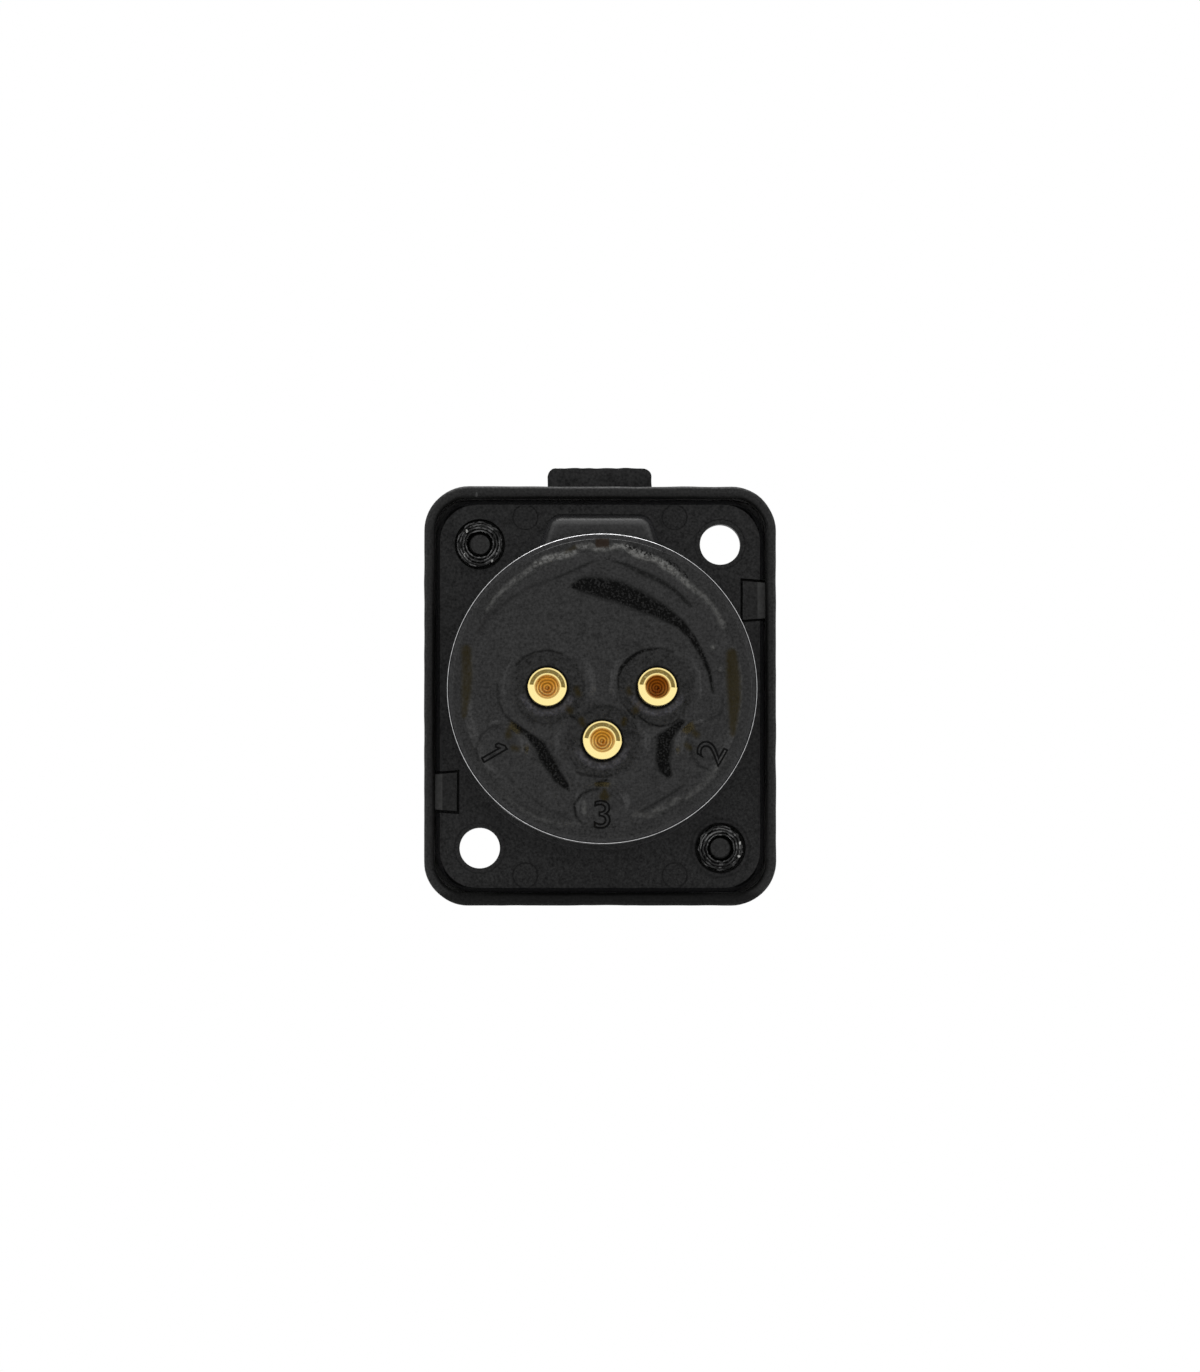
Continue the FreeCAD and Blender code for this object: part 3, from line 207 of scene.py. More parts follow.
PALE_MARKS = (
    (1.0, ((-2.04, 10.35, 0.17), (-3.11, 10.12, 0.24), (-4.25, 9.90, 0.23), (-5.01, 9.51, 0.18))),
    (0.45, ((-5.01, 9.51, 0.17), (-5.62, 8.98, 0.18), (-6.53, 8.37, 0.17), (-7.37, 7.69, 0.15),
          (-8.13, 6.93, 0.12), (-8.74, 6.01, 0.09))),
    (0.9, ((-1.81, 10.81, 0.17), (-0.90, 10.89, 0.20), (-0.44, 10.58, 0.12), (0.55, 10.66, 0.12),
          (0.93, 10.89, 0.18), (1.62, 10.81, 0.15))),
    (1.0, ((1.62, 10.89, 0.17), (2.45, 10.35, 0.27), (3.37, 10.05, 0.26), (4.13, 9.82, 0.21),
          (4.81, 9.36, 0.27), (5.50, 8.91, 0.23))),
    (0.7, ((5.50, 8.91, 0.18), (6.26, 8.22, 0.20), (7.02, 7.53, 0.17))),
    (0.4, ((7.02, 7.53, 0.17), (7.86, 6.93, 0.17), (8.70, 5.86, 0.17), (9.23, 4.79, 0.20))),
    # Painted highlight: the pale crescent beside pad 3.
    (0.35, ((-1.43, -8.69, 0.17), (-1.35, -9.45, 0.14))),
    (0.27, ((2.45, -9.60, 0.18), (3.67, -9.60, 0.23), (4.74, -8.99, 0.24), (5.81, -8.38, 0.20))),
    (0.24, ((6.41, -8.31, 0.18), (7.63, -7.39, 0.20), (8.70, -6.17, 0.18), (9.46, -4.80, 0.15))),
    (0.15, ((-7.75, -7.70, 0.12), (-6.53, -8.92, 0.17), (-5.01, -9.83, 0.18), (-3.18, -10.29, 0.18),
          (-1.81, -10.36, 0.17))),
    (1.0, ((8.39, 3.19, 0.07), (8.47, 3.12, 0.07))),
    (0.9, ((8.97, 1.56, 0.06), (9.00, 1.48, 0.06))),
    (0.8, ((-3.49, -6.59, 0.07), (-3.45, -6.67, 0.07))),
)
AMBER_MARKS = (
    (0.9, ((-10.34, 2.96, 0.34), (-10.27, 1.29, 0.38), (-10.34, -0.39, 0.35), (-10.49, -2.06, 0.17))),
    (1.0, ((9.84, 2.66, 0.38), (9.99, 0.68, 0.52), (10.07, -0.84, 0.47), (9.99, -2.52, 0.30),
          (9.92, -3.51, 0.15))),
    (0.9, ((-2.80, 10.31, 0.09), (-2.04, 10.77, 0.15))),
    (1.0, ((-1.96, -0.01, 0.20), (-1.81, -0.39, 0.23))),
    (1.0, ((-2.73, -1.38, 0.20), (-2.42, -1.68, 0.23))),
    (0.9, ((2.00, -0.01, 0.18), (2.07, -0.31, 0.20))),
    (1.0, ((2.76, -1.15, 0.18), (2.53, -1.68, 0.24))),
    (1.0, ((-1.58, -2.37, 0.23), (-1.43, -2.75, 0.18))),
    (1.0, ((1.69, -2.37, 0.20), (1.62, -2.67, 0.18))),
    (0.9, ((-7.14, -3.20, 0.18), (-7.14, -3.58, 0.26))),
    (0.9, ((-6.76, -4.50, 0.21), (-6.46, -4.58, 0.20))),
    (1.0, ((0.17, -7.77, 0.17), (0.17, -8.15, 0.40))),
    (0.9, ((6.95, -3.28, 0.20), (7.18, -3.51, 0.24))),
    (0.9, ((6.41, -4.27, 0.18), (6.64, -4.50, 0.20))),
)


def length(name, description, default):
    """A size in metres that a user may change."""
    return bpy.props.FloatProperty(name=name, description=description, default=default,
                                   unit="LENGTH", precision=5)


def colour(name, description, default):
    """A colour that a user may change."""
    return bpy.props.FloatVectorProperty(name=name, description=description, default=default,
                                         subtype="COLOR", size=3, min=0.0, max=1.0)


class ReceptacleStudioSettings(bpy.types.PropertyGroup):
    """Camera, floor and light."""
    camera_place: bpy.props.FloatVectorProperty(
        name="Camera", description="Where the camera stands", default=(0.0045, 0.5191, -0.0155),
        subtype="XYZ", unit="LENGTH", size=3)
    aim: bpy.props.FloatVectorProperty(
        name="Aim", description="Point in the middle of the picture", default=(0.0, -0.0012, 0.0008),
        subtype="XYZ", unit="LENGTH", size=3)
    lens: bpy.props.FloatProperty(
        name="Lens", description="Focal length for a 36 mm picture", default=172.9, unit="CAMERA")
    floor_height: length("Floor", "Height of the floor", -0.11)
    world_level: bpy.props.FloatProperty(
        name="World", description="Light from all round", default=0.6, min=0.0, max=1.0)


class ReceptacleColours(bpy.types.PropertyGroup):
    """Base colours of the finishes."""
    coat: colour("Coat", "Black coat of the die-cast housing", (0.004, 0.004, 0.0042))
    rubber: colour("Rubber", "Moulded seal", (0.004, 0.004, 0.0039))
    insulator: colour("Insulator", "Moulded insulators", (0.006, 0.006, 0.0062))
    resin: colour("Resin", "Potting resin", (0.004, 0.004, 0.004))
    amber: colour("Amber", "Resin where light comes through", (0.019, 0.015, 0.0055))
    gold: colour("Gold", "Plated contacts", (1.0, 0.83, 0.36))
    steel: colour("Steel", "Latch, pin and sleeves", (0.55, 0.54, 0.52))
    cap: colour("Cap", "Push tab", (0.005, 0.005, 0.0052))


class ReceptacleSizes(bpy.types.PropertyGroup):
    """Sizes of the fine pieces."""
    climb_reach: length("Climb reach", "How far from the barrel's wall the resin begins to climb", 0.0015)
    swell: length("Swell", "Unevenness of the resin's surface", 0.00005)
    digit_height: length("Digit height", "Numbers on the pads", 0.002)
    digit_line: length("Digit line", "Half width of the numbers' outline", 0.00007)
    flash_height: length("Torn edge height", "Ragged ends of the seal's pegs", 0.00022)
    rubber_wave: length("Rubber wave", "Unevenness of the seal's edges", 0.00005)
    cap_wear: length("Cap wear", "Unevenness of the push tab", 0.00007)


class Value:
    """A number worked out by a material, so that its maths reads as Python."""

    def __init__(self, finish, socket):
        self.finish = finish
        self.socket = socket

    def maths(self, operation, *others):
        """A new number from this one and the others."""
        return self.finish.maths(operation, self, *others)

    def __add__(self, other):
        return self.maths("ADD", other)

    __radd__ = __add__

    def __sub__(self, other):
        return self.maths("SUBTRACT", other)

    def __rsub__(self, other):
        return self.finish.maths("SUBTRACT", other, self)

    def __mul__(self, other):
        return self.maths("MULTIPLY", other)

    __rmul__ = __mul__

    def __truediv__(self, other):
        return self.maths("DIVIDE", other)

    def higher(self, other):
        """The larger of two numbers."""
        return self.maths("MAXIMUM", other)

    def lower(self, other):
        """The smaller of two numbers."""
        return self.maths("MINIMUM", other)

    def size(self):
        """The number without its sign."""
        return self.maths("ABSOLUTE")

    def waves(self):
        """Sine of the number, moved to run from 0 to 1."""
        return self.maths("SINE") * 0.5 + 0.5

    def step(self, low, high):
        """Smooth change from 0 at low to 1 at high."""
        found = self.finish.node("ShaderNodeMapRange", {"interpolation_type": "SMOOTHSTEP"},
                                 {"Value": self, "From Min": low, "From Max": high})
        return Value(self.finish, found.outputs["Result"])

    def near(self, middle, reach):
        """1 at the middle, smoothly down to 0 at this reach on both sides."""
        return 1.0 - (self - middle).size().step(0.0, reach)


class Finish:
    """One material and the nodes in it. Places are in millimetres of the row's frame."""

    def __init__(self, name):
        self.material = bpy.data.materials.new(name)
        self.material.use_nodes = True
        self.tree = self.material.node_tree
        self.tree.nodes.clear()
        self.shader = self.node("ShaderNodeBsdfPrincipled")
        self.node("ShaderNodeOutputMaterial", {}, {"Surface": self.shader.outputs["BSDF"]})
        coordinates = self.node("ShaderNodeTexCoord")
        scaled = self.node("ShaderNodeVectorMath", {"operation": "SCALE"},
                           {0: coordinates.outputs["Object"], "Scale": 1.0 / MM})
        self.place = scaled.outputs["Vector"]
        parts = self.node("ShaderNodeSeparateXYZ", {}, {"Vector": self.place})
        self.x, self.y, self.z = (Value(self, parts.outputs[letter]) for letter in "XYZ")

    def node(self, kind, settings=None, inputs=None):
        """A node of this type with its settings, and then its sockets' values or links."""
        made = self.tree.nodes.new(kind)
        for name, setting in (settings or {}).items():
            setattr(made, name, setting)
        for name, given in (inputs or {}).items():
            self.feed(made.inputs[name], given)
        return made

    def feed(self, socket, given):
        """Set a socket, or link it."""
        if isinstance(given, Value):
            given = given.socket
        if isinstance(given, bpy.types.NodeSocket):
            self.tree.links.new(given, socket)
        else:
            socket.default_value = given

    def maths(self, operation, *inputs):
        """A number worked out from numbers, sockets or both."""
        found = self.node("ShaderNodeMath", {"operation": operation}, dict(enumerate(inputs)))
        return Value(self, found.outputs["Value"])

    def from_axis(self, across, up):
        """Distance from a line along the connector's axis."""
        side = self.x - across
        rise = self.z - up
        return (side * side + rise * rise).maths("SQRT")

    def from_corner(self):
        """Distance from the middle of the seal's nearest corner arc, and 0 outside the corners."""
        side = (self.x.size() - (BOOT_SIDE - BOOT_CORNER)).higher(0.0)
        rise = (self.z.size() - (BOOT_END - BOOT_CORNER)).higher(0.0)
        both = side.step(0.0, 0.3) * rise.step(0.0, 0.3)
        return (side * side + rise * rise).maths("SQRT") * both

    def beyond(self, side, end, corner):
        """1 outside a rounded rectangle, from pairs of where that begins and where it is full.

        The first pair is for X, the next for Z and the last for the distance from a corner's middle.
        """
        sides = self.x.size().step(*side).higher(self.z.size().step(*end))
        return sides.higher(self.from_corner().step(*corner))

    def drawn(self, name):
        """A value stored with the mesh."""
        found = self.node("ShaderNodeAttribute", {"attribute_name": name})
        return Value(self, found.outputs["Fac"])

    def noise(self, scale, detail=2.0, roughness=0.5, place=None):
        """Soft noise about 0.5, with this many swells a millimetre."""
        found = self.node("ShaderNodeTexNoise", {}, {
            "Vector": place or self.place, "Scale": scale, "Detail": detail, "Roughness": roughness})
        return Value(self, found.outputs[0])

    def stretched(self, across, along, up):
        """Places scaled by these factors, for drawn-out patterns."""
        found = self.node("ShaderNodeVectorMath", {"operation": "MULTIPLY"},
                          {0: self.place, 1: (across, along, up)})
        return found.outputs["Vector"]

    def blend(self, amount, first, second):
        """Colour between two colours."""
        found = self.node("ShaderNodeMix", {"data_type": "RGBA"},
                          {0: amount, 6: opaque(first), 7: opaque(second)})
        return found.outputs[2]

    def raised(self, height, depth):
        """Surface raised by height, which goes from 0 to 1, times depth in metres."""
        found = self.node("ShaderNodeBump", {}, {"Height": height, "Distance": depth})
        return found.outputs["Normal"]

    def surface(self, **inputs):
        """Feed the shader's own sockets."""
        for name, given in inputs.items():
            self.feed(self.shader.inputs[name.replace("_", " ")], given)


def opaque(given):
    """A colour with its alpha, or a socket as it is."""
    if isinstance(given, bpy.types.NodeSocket):
        return given
    return (given[0], given[1], given[2], 1.0)


def shade(base, amount):
    """A colour made lighter or darker."""
    return tuple(min(1.0, part * amount) for part in base)


def highest(values):
    """The largest of some numbers of a material."""
    found, *others = values
    for other in others:
        found = found.higher(other)
    return found


def spot(finish, patch, ragged):
    """1 inside a patch and 0 outside, with a ragged edge. A patch is its place (X, Z) and half widths."""
    across, up, reach_across, reach_up = patch
    side = (finish.x - across) / reach_across
    rise = (finish.z - up) / reach_up
    away = (side * side + rise * rise).maths("SQRT") + (ragged - 0.5) * 1.1
    return away.step(1.05, 0.75)


def coat_finish(base):
    """Satin black coat, worn bare on the rear edge of the barrel, with painted sheen on the hump and
    painted light where the coat lies in deep shade.
    """
    finish = Finish("housing_coat")
    radius = finish.from_axis(0.0, 0.0)
    mottle = finish.noise(0.9, 4.0, 0.6)
    grain = finish.noise(5.5, 3.0, 0.7)
    rear_face = finish.y.step(BARREL_REAR - 0.16, BARREL_REAR - 0.1)
    # Painted sheen: a stronger coat makes the hump lighter where light from above falls on it.
    fairing_sheen = finish.y.step(FLOOR + 0.05, FLOOR + 0.9) * finish.y.step(1.0, 0.5)
    fairing_sheen = fairing_sheen * radius.step(BARREL_RADIUS + 0.2, BARREL_RADIUS + 2.4)
    edge = radius.step(BARREL_RADIUS - 0.048, BARREL_RADIUS - 0.025)
    edge = edge * finish.y.step(BARREL_REAR - BARREL_EDGE - 0.02, BARREL_REAR - BARREL_EDGE + 0.02)
    worn = edge * (finish.noise(1.6, 3.0, 0.6) + 0.25).lower(0.9)

    # Painted light: the foot of the barrel and the border of the flange lie in deep shade, so their base
    # colour is painted paler.
    foot = finish.y.step(FLOOR, FLOOR + 0.06) * finish.y.step(FLOOR + 1.0, FLOOR + 0.65)
    foot = foot * radius.step(BARREL_RADIUS + 0.1, BARREL_RADIUS + 0.3)
    border = finish.beyond((FLANGE_SIDE - 0.5, FLANGE_SIDE - 0.4), (FLANGE_END - 0.5, FLANGE_END - 0.4),
                           (2.0, 2.1))
    border = border * finish.y.step(FLOOR - 0.01, FLOOR - 0.05)
    face = finish.blend(rear_face, base, shade(base, 2.0))
    face = finish.blend(foot.higher(border), face, shade(base, 6.5))

    # Dark lines: rings at the ejector marks and the screw holes, and turned marks round the pegs.
    lines = [finish.from_axis(*place).near(EJECTOR_RING, 0.1) * 0.5 for place in EJECTOR_PLACES]
    lines += [finish.from_axis(*place).near(SCREW_RING, 0.1) * 0.25 for place in SCREW_PLACES]
    for share, place in zip((0.3, 1.0), PEG_PLACES):
        away = finish.from_axis(*place)
        lines.append((away * 17.0).waves() * away.step(2.75, 2.1) * (0.42 * share))

    # Painted light along the top edge of the hump.
    painted_hump_edge_light = finish.z.near(FAIRING_TOP, 0.3) * finish.x.size().step(4.3, 3.5) * (1.0 - rear_face)
    tone = 0.49 + 0.25 * (mottle - 0.5) + 1.5 * (grain - 0.5)
    tone = tone + 0.5 * painted_hump_edge_light + fairing_sheen * 0.6 + rear_face * (0.08 + 0.2 * mottle + 0.3 * (grain - 0.5))
    bevel = radius.step(BARREL_RADIUS - 0.13, BARREL_RADIUS - 0.11)
    bevel = bevel * finish.y.step(BARREL_REAR - 0.16, BARREL_REAR - 0.14)
    tone = tone * (1.0 - highest(lines)) * (1.0 - 0.85 * bevel)
    finish.surface(
        Base_Color=finish.blend(worn, face, BARE_METAL),
        Metallic=worn,
        Roughness=0.45 - 0.15 * worn,
        Specular_IOR_Level=0.0,
        Coat_Weight=tone * (1.0 - worn),
        Coat_Roughness=0.4,
        Normal=finish.raised(grain, 0.00001),
    )
    return finish.material


def rubber_finish(name, base, sheen):
    """Moulded black rubber with faint swells and fine pits, with painted shade on the rear of the rim
    inside its outer band, along the seal's bottom and round the pegs' middle posts, and painted light that
    makes the rim's deeply shaded inner side paler.
    """
    finish = Finish(name)
    mottle = finish.noise(0.7, 4.0, 0.6)
    grain = finish.noise(5.5, 3.0, 0.7)
    outer = finish.beyond((BOOT_SIDE - 0.78, BOOT_SIDE - 0.35), (BOOT_END - 0.9, BOOT_END - 0.4),
                          (BOOT_CORNER - 0.85, BOOT_CORNER - 0.4))
    rear = finish.y.step(-0.45, -0.1)
    pegs = []
    shaded_grooves = []
    for place in PEG_PLACES:
        away = finish.from_axis(*place)
        pegs.append(away.step(1.0, 0.9))
        # Painted shade in the ring round the peg's middle post.
        shaded_grooves.append(away.step(0.8, 0.84) * away.step(1.1, 1.02))
    # Painted shade: a weaker coat on the rear of the rim inside its outer band.
    inner = rear * (1.0 - outer)
    nick = spot(finish, RIM_NICK, finish.noise(5.0, 2.0))
    tone = sheen * (1.0 + 0.3 * (mottle - 0.5) + 2.6 * (grain - 0.5)) * (1.0 - 0.45 * inner)
    tone = tone + nick * 0.8 + 0.12 * highest(pegs) * (1.0 - rear)
    # Painted shade: a weaker coat along the seal's bottom.
    shaded_bottom = finish.z.step(1.3 - BOOT_END, 0.7 - BOOT_END)
    tone = tone * (1.0 - 0.95 * highest(shaded_grooves)) * (1.0 - 0.6 * shaded_bottom)
    # Painted light: the inner side of the rim lies in deep shade, so its base colour is painted paler.
    foot = finish.beyond((BOOT_SIDE - 1.5, BOOT_SIDE - 1.4), (BOOT_END - 1.6, BOOT_END - 1.5), (1.6, 1.8))
    painted_light_slope = foot * (1.0 - outer) * finish.y.step(-0.12, -0.4)
    body = finish.blend(mottle, shade(base, 0.7), shade(base, 1.4))
    finish.surface(
        Base_Color=finish.blend(painted_light_slope, body, shade(base, 12.0)),
        Roughness=0.6,
        Specular_IOR_Level=0.0,
        Coat_Weight=tone,
        Coat_Roughness=0.45,
        Normal=finish.raised(grain, 0.000015),
    )
    return finish.material


def insulator_finish(base):
    """Moulded black plastic, wet with resin where it comes through at the rear."""
    finish = Finish("insulator")
    mottle = finish.noise(1.3, 4.0, 0.6)
    grain = finish.noise(9.0, 3.0, 0.6)
    finish.surface(
        Base_Color=finish.blend(mottle, shade(base, 0.6), shade(base, 1.4)),
        Roughness=0.16 + 0.16 * grain,
        Specular_IOR_Level=0.42,
        Normal=finish.raised(grain, 0.000006),
    )
    return finish.material


def resin_finish(base, amber):
    """Glossy dark resin: amber where it is thin, whitish where it is full of bubbles, with painted dark
    reflections and shade lines, painted shade round the cups and painted highlights below them.
    """
    finish = Finish("potting_resin")
    radius = finish.from_axis(0.0, 0.0)
    mottle = finish.noise(0.8, 5.0, 0.6)
    grain = finish.noise(5.0, 3.0, 0.7)
    fine = finish.noise(3.2, 4.0, 0.7)
    scratches = finish.noise(3.0, 4.0, 0.7, finish.stretched(0.35, 1.0, 1.6))
    pale = finish.drawn("pale") * (0.3 + 0.9 * fine.step(0.4, 0.6))
    speckle = finish.noise(6.0, 2.0, 0.6).step(0.5, 0.62)
    thin = (finish.drawn("amber") * (0.5 + fine)).lower(1.0)
    # Painted dark reflections and painted shade lines: the coat is weaker where the dark marks lie.
    dark = (finish.drawn("dark") * (1.1 + 2.0 * (grain - 0.5))).lower(1.0) * (1.0 - 0.5 * speckle)

    # The painted dark marks break up into dots in the foam along the upper edge, and black bubbles dot the
    # pale foam.
    foam = finish.z.step(7.9, 8.3) * radius.step(9.6, 9.9)
    dots = finish.noise(5.5, 1.0).step(0.5, 0.56)
    dark = (dark * (1.0 - foam * (1.0 - dots))).higher(dots * finish.drawn("pale").step(0.7, 0.9) * 0.3)
    pale = pale * (1.0 - dark)

    # Each cup has a black ring of painted shade round it and a pale crescent of painted highlight below,
    # and its boss is duller.
    rings = []
    moon_highlights = []
    bosses = []
    for across, up in CUPS.values():
        away = finish.from_axis(across, up)
        rings.append(away.step(CUP_RADIUS + 0.28, CUP_RADIUS + 0.1))
        moon_highlights.append(away.near(1.95, 0.4) * (up - 0.35 - finish.z).step(0.0, 0.7))
        bosses.append(away.step(BOSS_RADIUS + 0.15, BOSS_RADIUS - 0.15))
    ring = highest(rings)
    moon_highlight = highest(moon_highlights) * (0.35 + 0.6 * grain.step(0.4, 0.62)) * (1.0 - ring)

    brown = finish.z.step(KEY_SLOT_BOTTOM, KEY_SLOT_BOTTOM + 0.1) * finish.x.size().step(0.56, 0.48)
    tone = 0.68 + 0.4 * (mottle - 0.5) + 1.7 * (grain - 0.5) + 0.4 * (scratches - 0.5)
    tone = tone - 0.16 * highest(bosses) - 0.07 * radius.step(10.1, 10.6)
    tone = tone * (1.0 - 0.97 * dark) * (1.0 - 0.95 * ring) * (1.0 - 0.8 * thin) * (1.0 - 0.7 * brown)
    tinted = finish.blend(brown, finish.blend(thin, base, amber), KEY_BROWN)
    highlighted = finish.blend(moon_highlight * 0.4, tinted, MOON_HIGHLIGHT)
    finish.surface(
        Base_Color=finish.blend((pale * 0.9).lower(1.0), highlighted, BUBBLES),
        Roughness=0.5,
        Specular_IOR_Level=0.0,
        Coat_Weight=tone.higher(0.02),
        Coat_Roughness=0.2,
        Normal=finish.raised(grain * 0.6 + mottle, 0.000008),
    )
    return finish.material


def gold_finish(name, base, across, up, floor_colour):
    """Gold plating with turning marks in the cup, and a rough cut face on its upper half."""
    finish = Finish(name)
    radius = finish.from_axis(across, up)
    rings = (radius * 27.0 + finish.noise(1.5, 2.0, 0.5) * 3.0).waves()
    scratch = finish.noise(5.0, 4.0, 0.7)
    inside = radius.step(CUP_BORE + 0.005, CUP_BORE - 0.03)
    deep = inside * finish.y.step(CUP_REAR - CUP_CUT - 0.3, CUP_REAR - CUP_CUT - 0.6)
    cut = finish.y.near(CUP_REAR - CUP_CUT, 0.03) * (1.0 - inside)
    band = radius.step(CUP_BORE + 0.13, CUP_BORE + 0.2) * radius.step(CUP_RADIUS - 0.08, CUP_RADIUS - 0.14)
    olive = cut * band * (0.85 + 2.4 * (scratch - 0.45)).lower(1.0).higher(0.0)
    rough = finish.blend(scratch.step(0.38, 0.62), CUT_DARK, CUT_LIGHT)
    side = radius.step(CUP_RADIUS - 0.03, CUP_RADIUS - 0.01)
    lip = radius.step(CUP_BORE + 0.085, CUP_BORE + 0.06)
    wall = finish.blend(side * 0.25, finish.blend(lip, base, LIP_GOLD), SIDE_GOLD)
    marks = finish.blend(rings, shade(floor_colour, 0.5), shade(floor_colour, 1.3))
    finish.surface(
        Base_Color=finish.blend(olive, finish.blend(deep, wall, marks), rough),
        Metallic=1.0,
        Roughness=0.22 + 0.1 * scratch + 0.25 * olive + 0.12 * deep,
        Normal=finish.raised(rings * deep + olive * scratch * 2.0, 0.000008),
    )
    return finish.material


def steel_finish(name, base, drawn):
    """Stamped steel with drawn lines."""
    finish = Finish(name)
    lines = finish.noise(6.0, 3.0, 0.6, finish.stretched(*drawn))
    mottle = finish.noise(0.8, 4.0, 0.6)
    finish.surface(
        Base_Color=finish.blend(mottle, shade(base, 0.8), shade(base, 1.1)),
        Metallic=1.0,
        Roughness=0.26 + 0.2 * lines,
        Normal=finish.raised(lines, 0.000008),
    )
    return finish.material


def cap_finish(base):
    """Moulded black plastic of the push tab, with a fine eroded texture."""
    finish = Finish("cap_plastic")
    grain = finish.noise(4.5, 4.0, 0.7)
    mottle = finish.noise(0.8, 4.0, 0.6)
    finish.surface(
        Base_Color=finish.blend(mottle, shade(base, 0.7), shade(base, 1.5)),
        Roughness=0.6,
        Specular_IOR_Level=0.0,
        Coat_Weight=0.42 + 1.3 * (grain - 0.5) + 0.4 * (mottle - 0.5),
        Coat_Roughness=0.4,
        Normal=finish.raised(grain, 0.00002),
    )
    return finish.material


def torn_finish(base):
    """Torn, glossy rubber at the ends of the pegs, with painted glints on its crests and in turned rings,
    and a few white nicks.
    """
    finish = Finish("torn_rubber")
    grain = finish.noise(5.0, 4.0, 0.7)
    fine = finish.noise(1.3, 3.0, 0.6)
    crest = finish.drawn("crest")
    # Painted glints: grey bands with a stronger coat on the crests and in turned rings.
    glint_bands = [crest.step(0.45, 0.8) * 0.3]
    for place in PEG_PLACES:
        away = finish.from_axis(*place)
        glint_bands.append((away * 26.0 + grain + fine * 9.0).waves().step(0.3, 1.0) * away.step(1.9, 1.7))
    painted_glints = highest(glint_bands) * (0.22 + 0.78 * fine.step(0.46, 0.56))
    nicks = []
    for peg, across, up, half_across, half_up in TEAR_NICKS:
        middle = PEG_PLACES[peg]
        nicks.append(spot(finish, (middle[0] + across, middle[1] + up, half_across, half_up), grain))
    rubber = finish.blend(painted_glints, shade(base, 0.3), GLINT_GREY)
    finish.surface(
        Base_Color=finish.blend(highest(nicks), rubber, NICK_WHITE),
        Roughness=0.35,
        Specular_IOR_Level=0.0,
        Coat_Weight=0.04 + 0.25 * crest * grain + 0.9 * painted_glints,
        Coat_Roughness=0.2,
        Normal=finish.raised(grain, 0.00003),
    )
    return finish.material


def black_finish(base):
    """Dark edge of the numbers."""
    finish = Finish("number_edge")
    finish.surface(
        Base_Color=finish.blend(finish.noise(3.0), shade(base, 0.3), shade(base, 0.6)),
        Roughness=0.5,
        Specular_IOR_Level=0.0,
        Coat_Weight=0.03 + 0.12 * finish.noise(2.0),
        Coat_Roughness=0.3,
    )
    return finish.material


def dress(names, material):
    """Give carried-over nodes a finish."""
    for name in names:
        slots = NODES[name].data.materials
        slots.clear()
        slots.append(material)


def new_piece(name, data, material, replaced=(), body="housing", smooth=True):
    """A finished piece from mesh data whose places are final."""
    data.materials.append(material)
    if smooth:
        data.polygons.foreach_set("use_smooth", [True] * len(data.polygons))
    piece = bpy.data.objects.new(name, data)
    bpy.context.scene.collection.objects.link(piece)
    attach(piece, body)
    if replaced:
        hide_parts(*replaced)
    return piece


def joined(data):
    """A mesh to work on from mesh data, with what meets joined."""
    mesh = bmesh.new()
    mesh.from_mesh(data)
    bmesh.ops.remove_doubles(mesh, verts=mesh.verts, dist=SAME_CORNER)
    return mesh


def mesh_data(mesh, name):
    """Mesh data with this name from a mesh, which is done with."""
    data = bpy.data.meshes.new(name)
    mesh.to_mesh(data)
    mesh.free()
    return data


def spin(mesh, steps):
    """Spin a mesh's line about the Y axis, in mm, into a closed surface."""
    bmesh.ops.spin(mesh, geom=mesh.verts[:] + mesh.edges[:], cent=(0, 0, 0), axis=(0, 1, 0),
                   angle=2 * math.pi, steps=steps, use_merge=True)
    bmesh.ops.remove_doubles(mesh, verts=mesh.verts, dist=SAME_CORNER_MM)


def on_circle(radius, turn):
    """(right, up) at this many degrees round the axis, seen from behind, with 0 at the right."""
    return radius * math.cos(math.radians(turn)), radius * math.sin(math.radians(turn))


def distance(places, right, up):
    """Distance of each place, an array of (right, up), from one point."""
    return numpy.hypot(places[:, 0] - right, places[:, 1] - up)


def swells(places, scale, seed):
    """Noise from -1 to 1 at an array of (right, up), with about this many swells a millimetre."""
    return numpy.array([noise.noise(Vector((right * scale, up * scale, seed))) for right, up in places])


def fade(away, full, none):
    """1 where away is at or past full, 0 at or past none, smooth between."""
    share = ((away - none) / (full - none)).clip(0.0, 1.0)
    return share * share * (3.0 - 2.0 * share)


def marked(places, table, soft):
    """Strength of a table's marks at places, an array of (right, up), with edges this soft."""
    found = numpy.zeros(len(places))
    for strength, points in table:
        for first, last in zip(points, points[1:]):
            start = numpy.array(first)
            way = numpy.array(last) - start
            share = ((places - start[:2]) @ way[:2] / max(way[:2] @ way[:2], 1e-9)).clip(0.0, 1.0)
            nearest = start + share[:, None] * way
            away = numpy.hypot(places[:, 0] - nearest[:, 0], places[:, 1] - nearest[:, 1]) - nearest[:, 2]
            edge = numpy.maximum(soft, 0.45 * nearest[:, 2])
            found = numpy.maximum(found, strength * fade(away, -edge, edge))
    return found


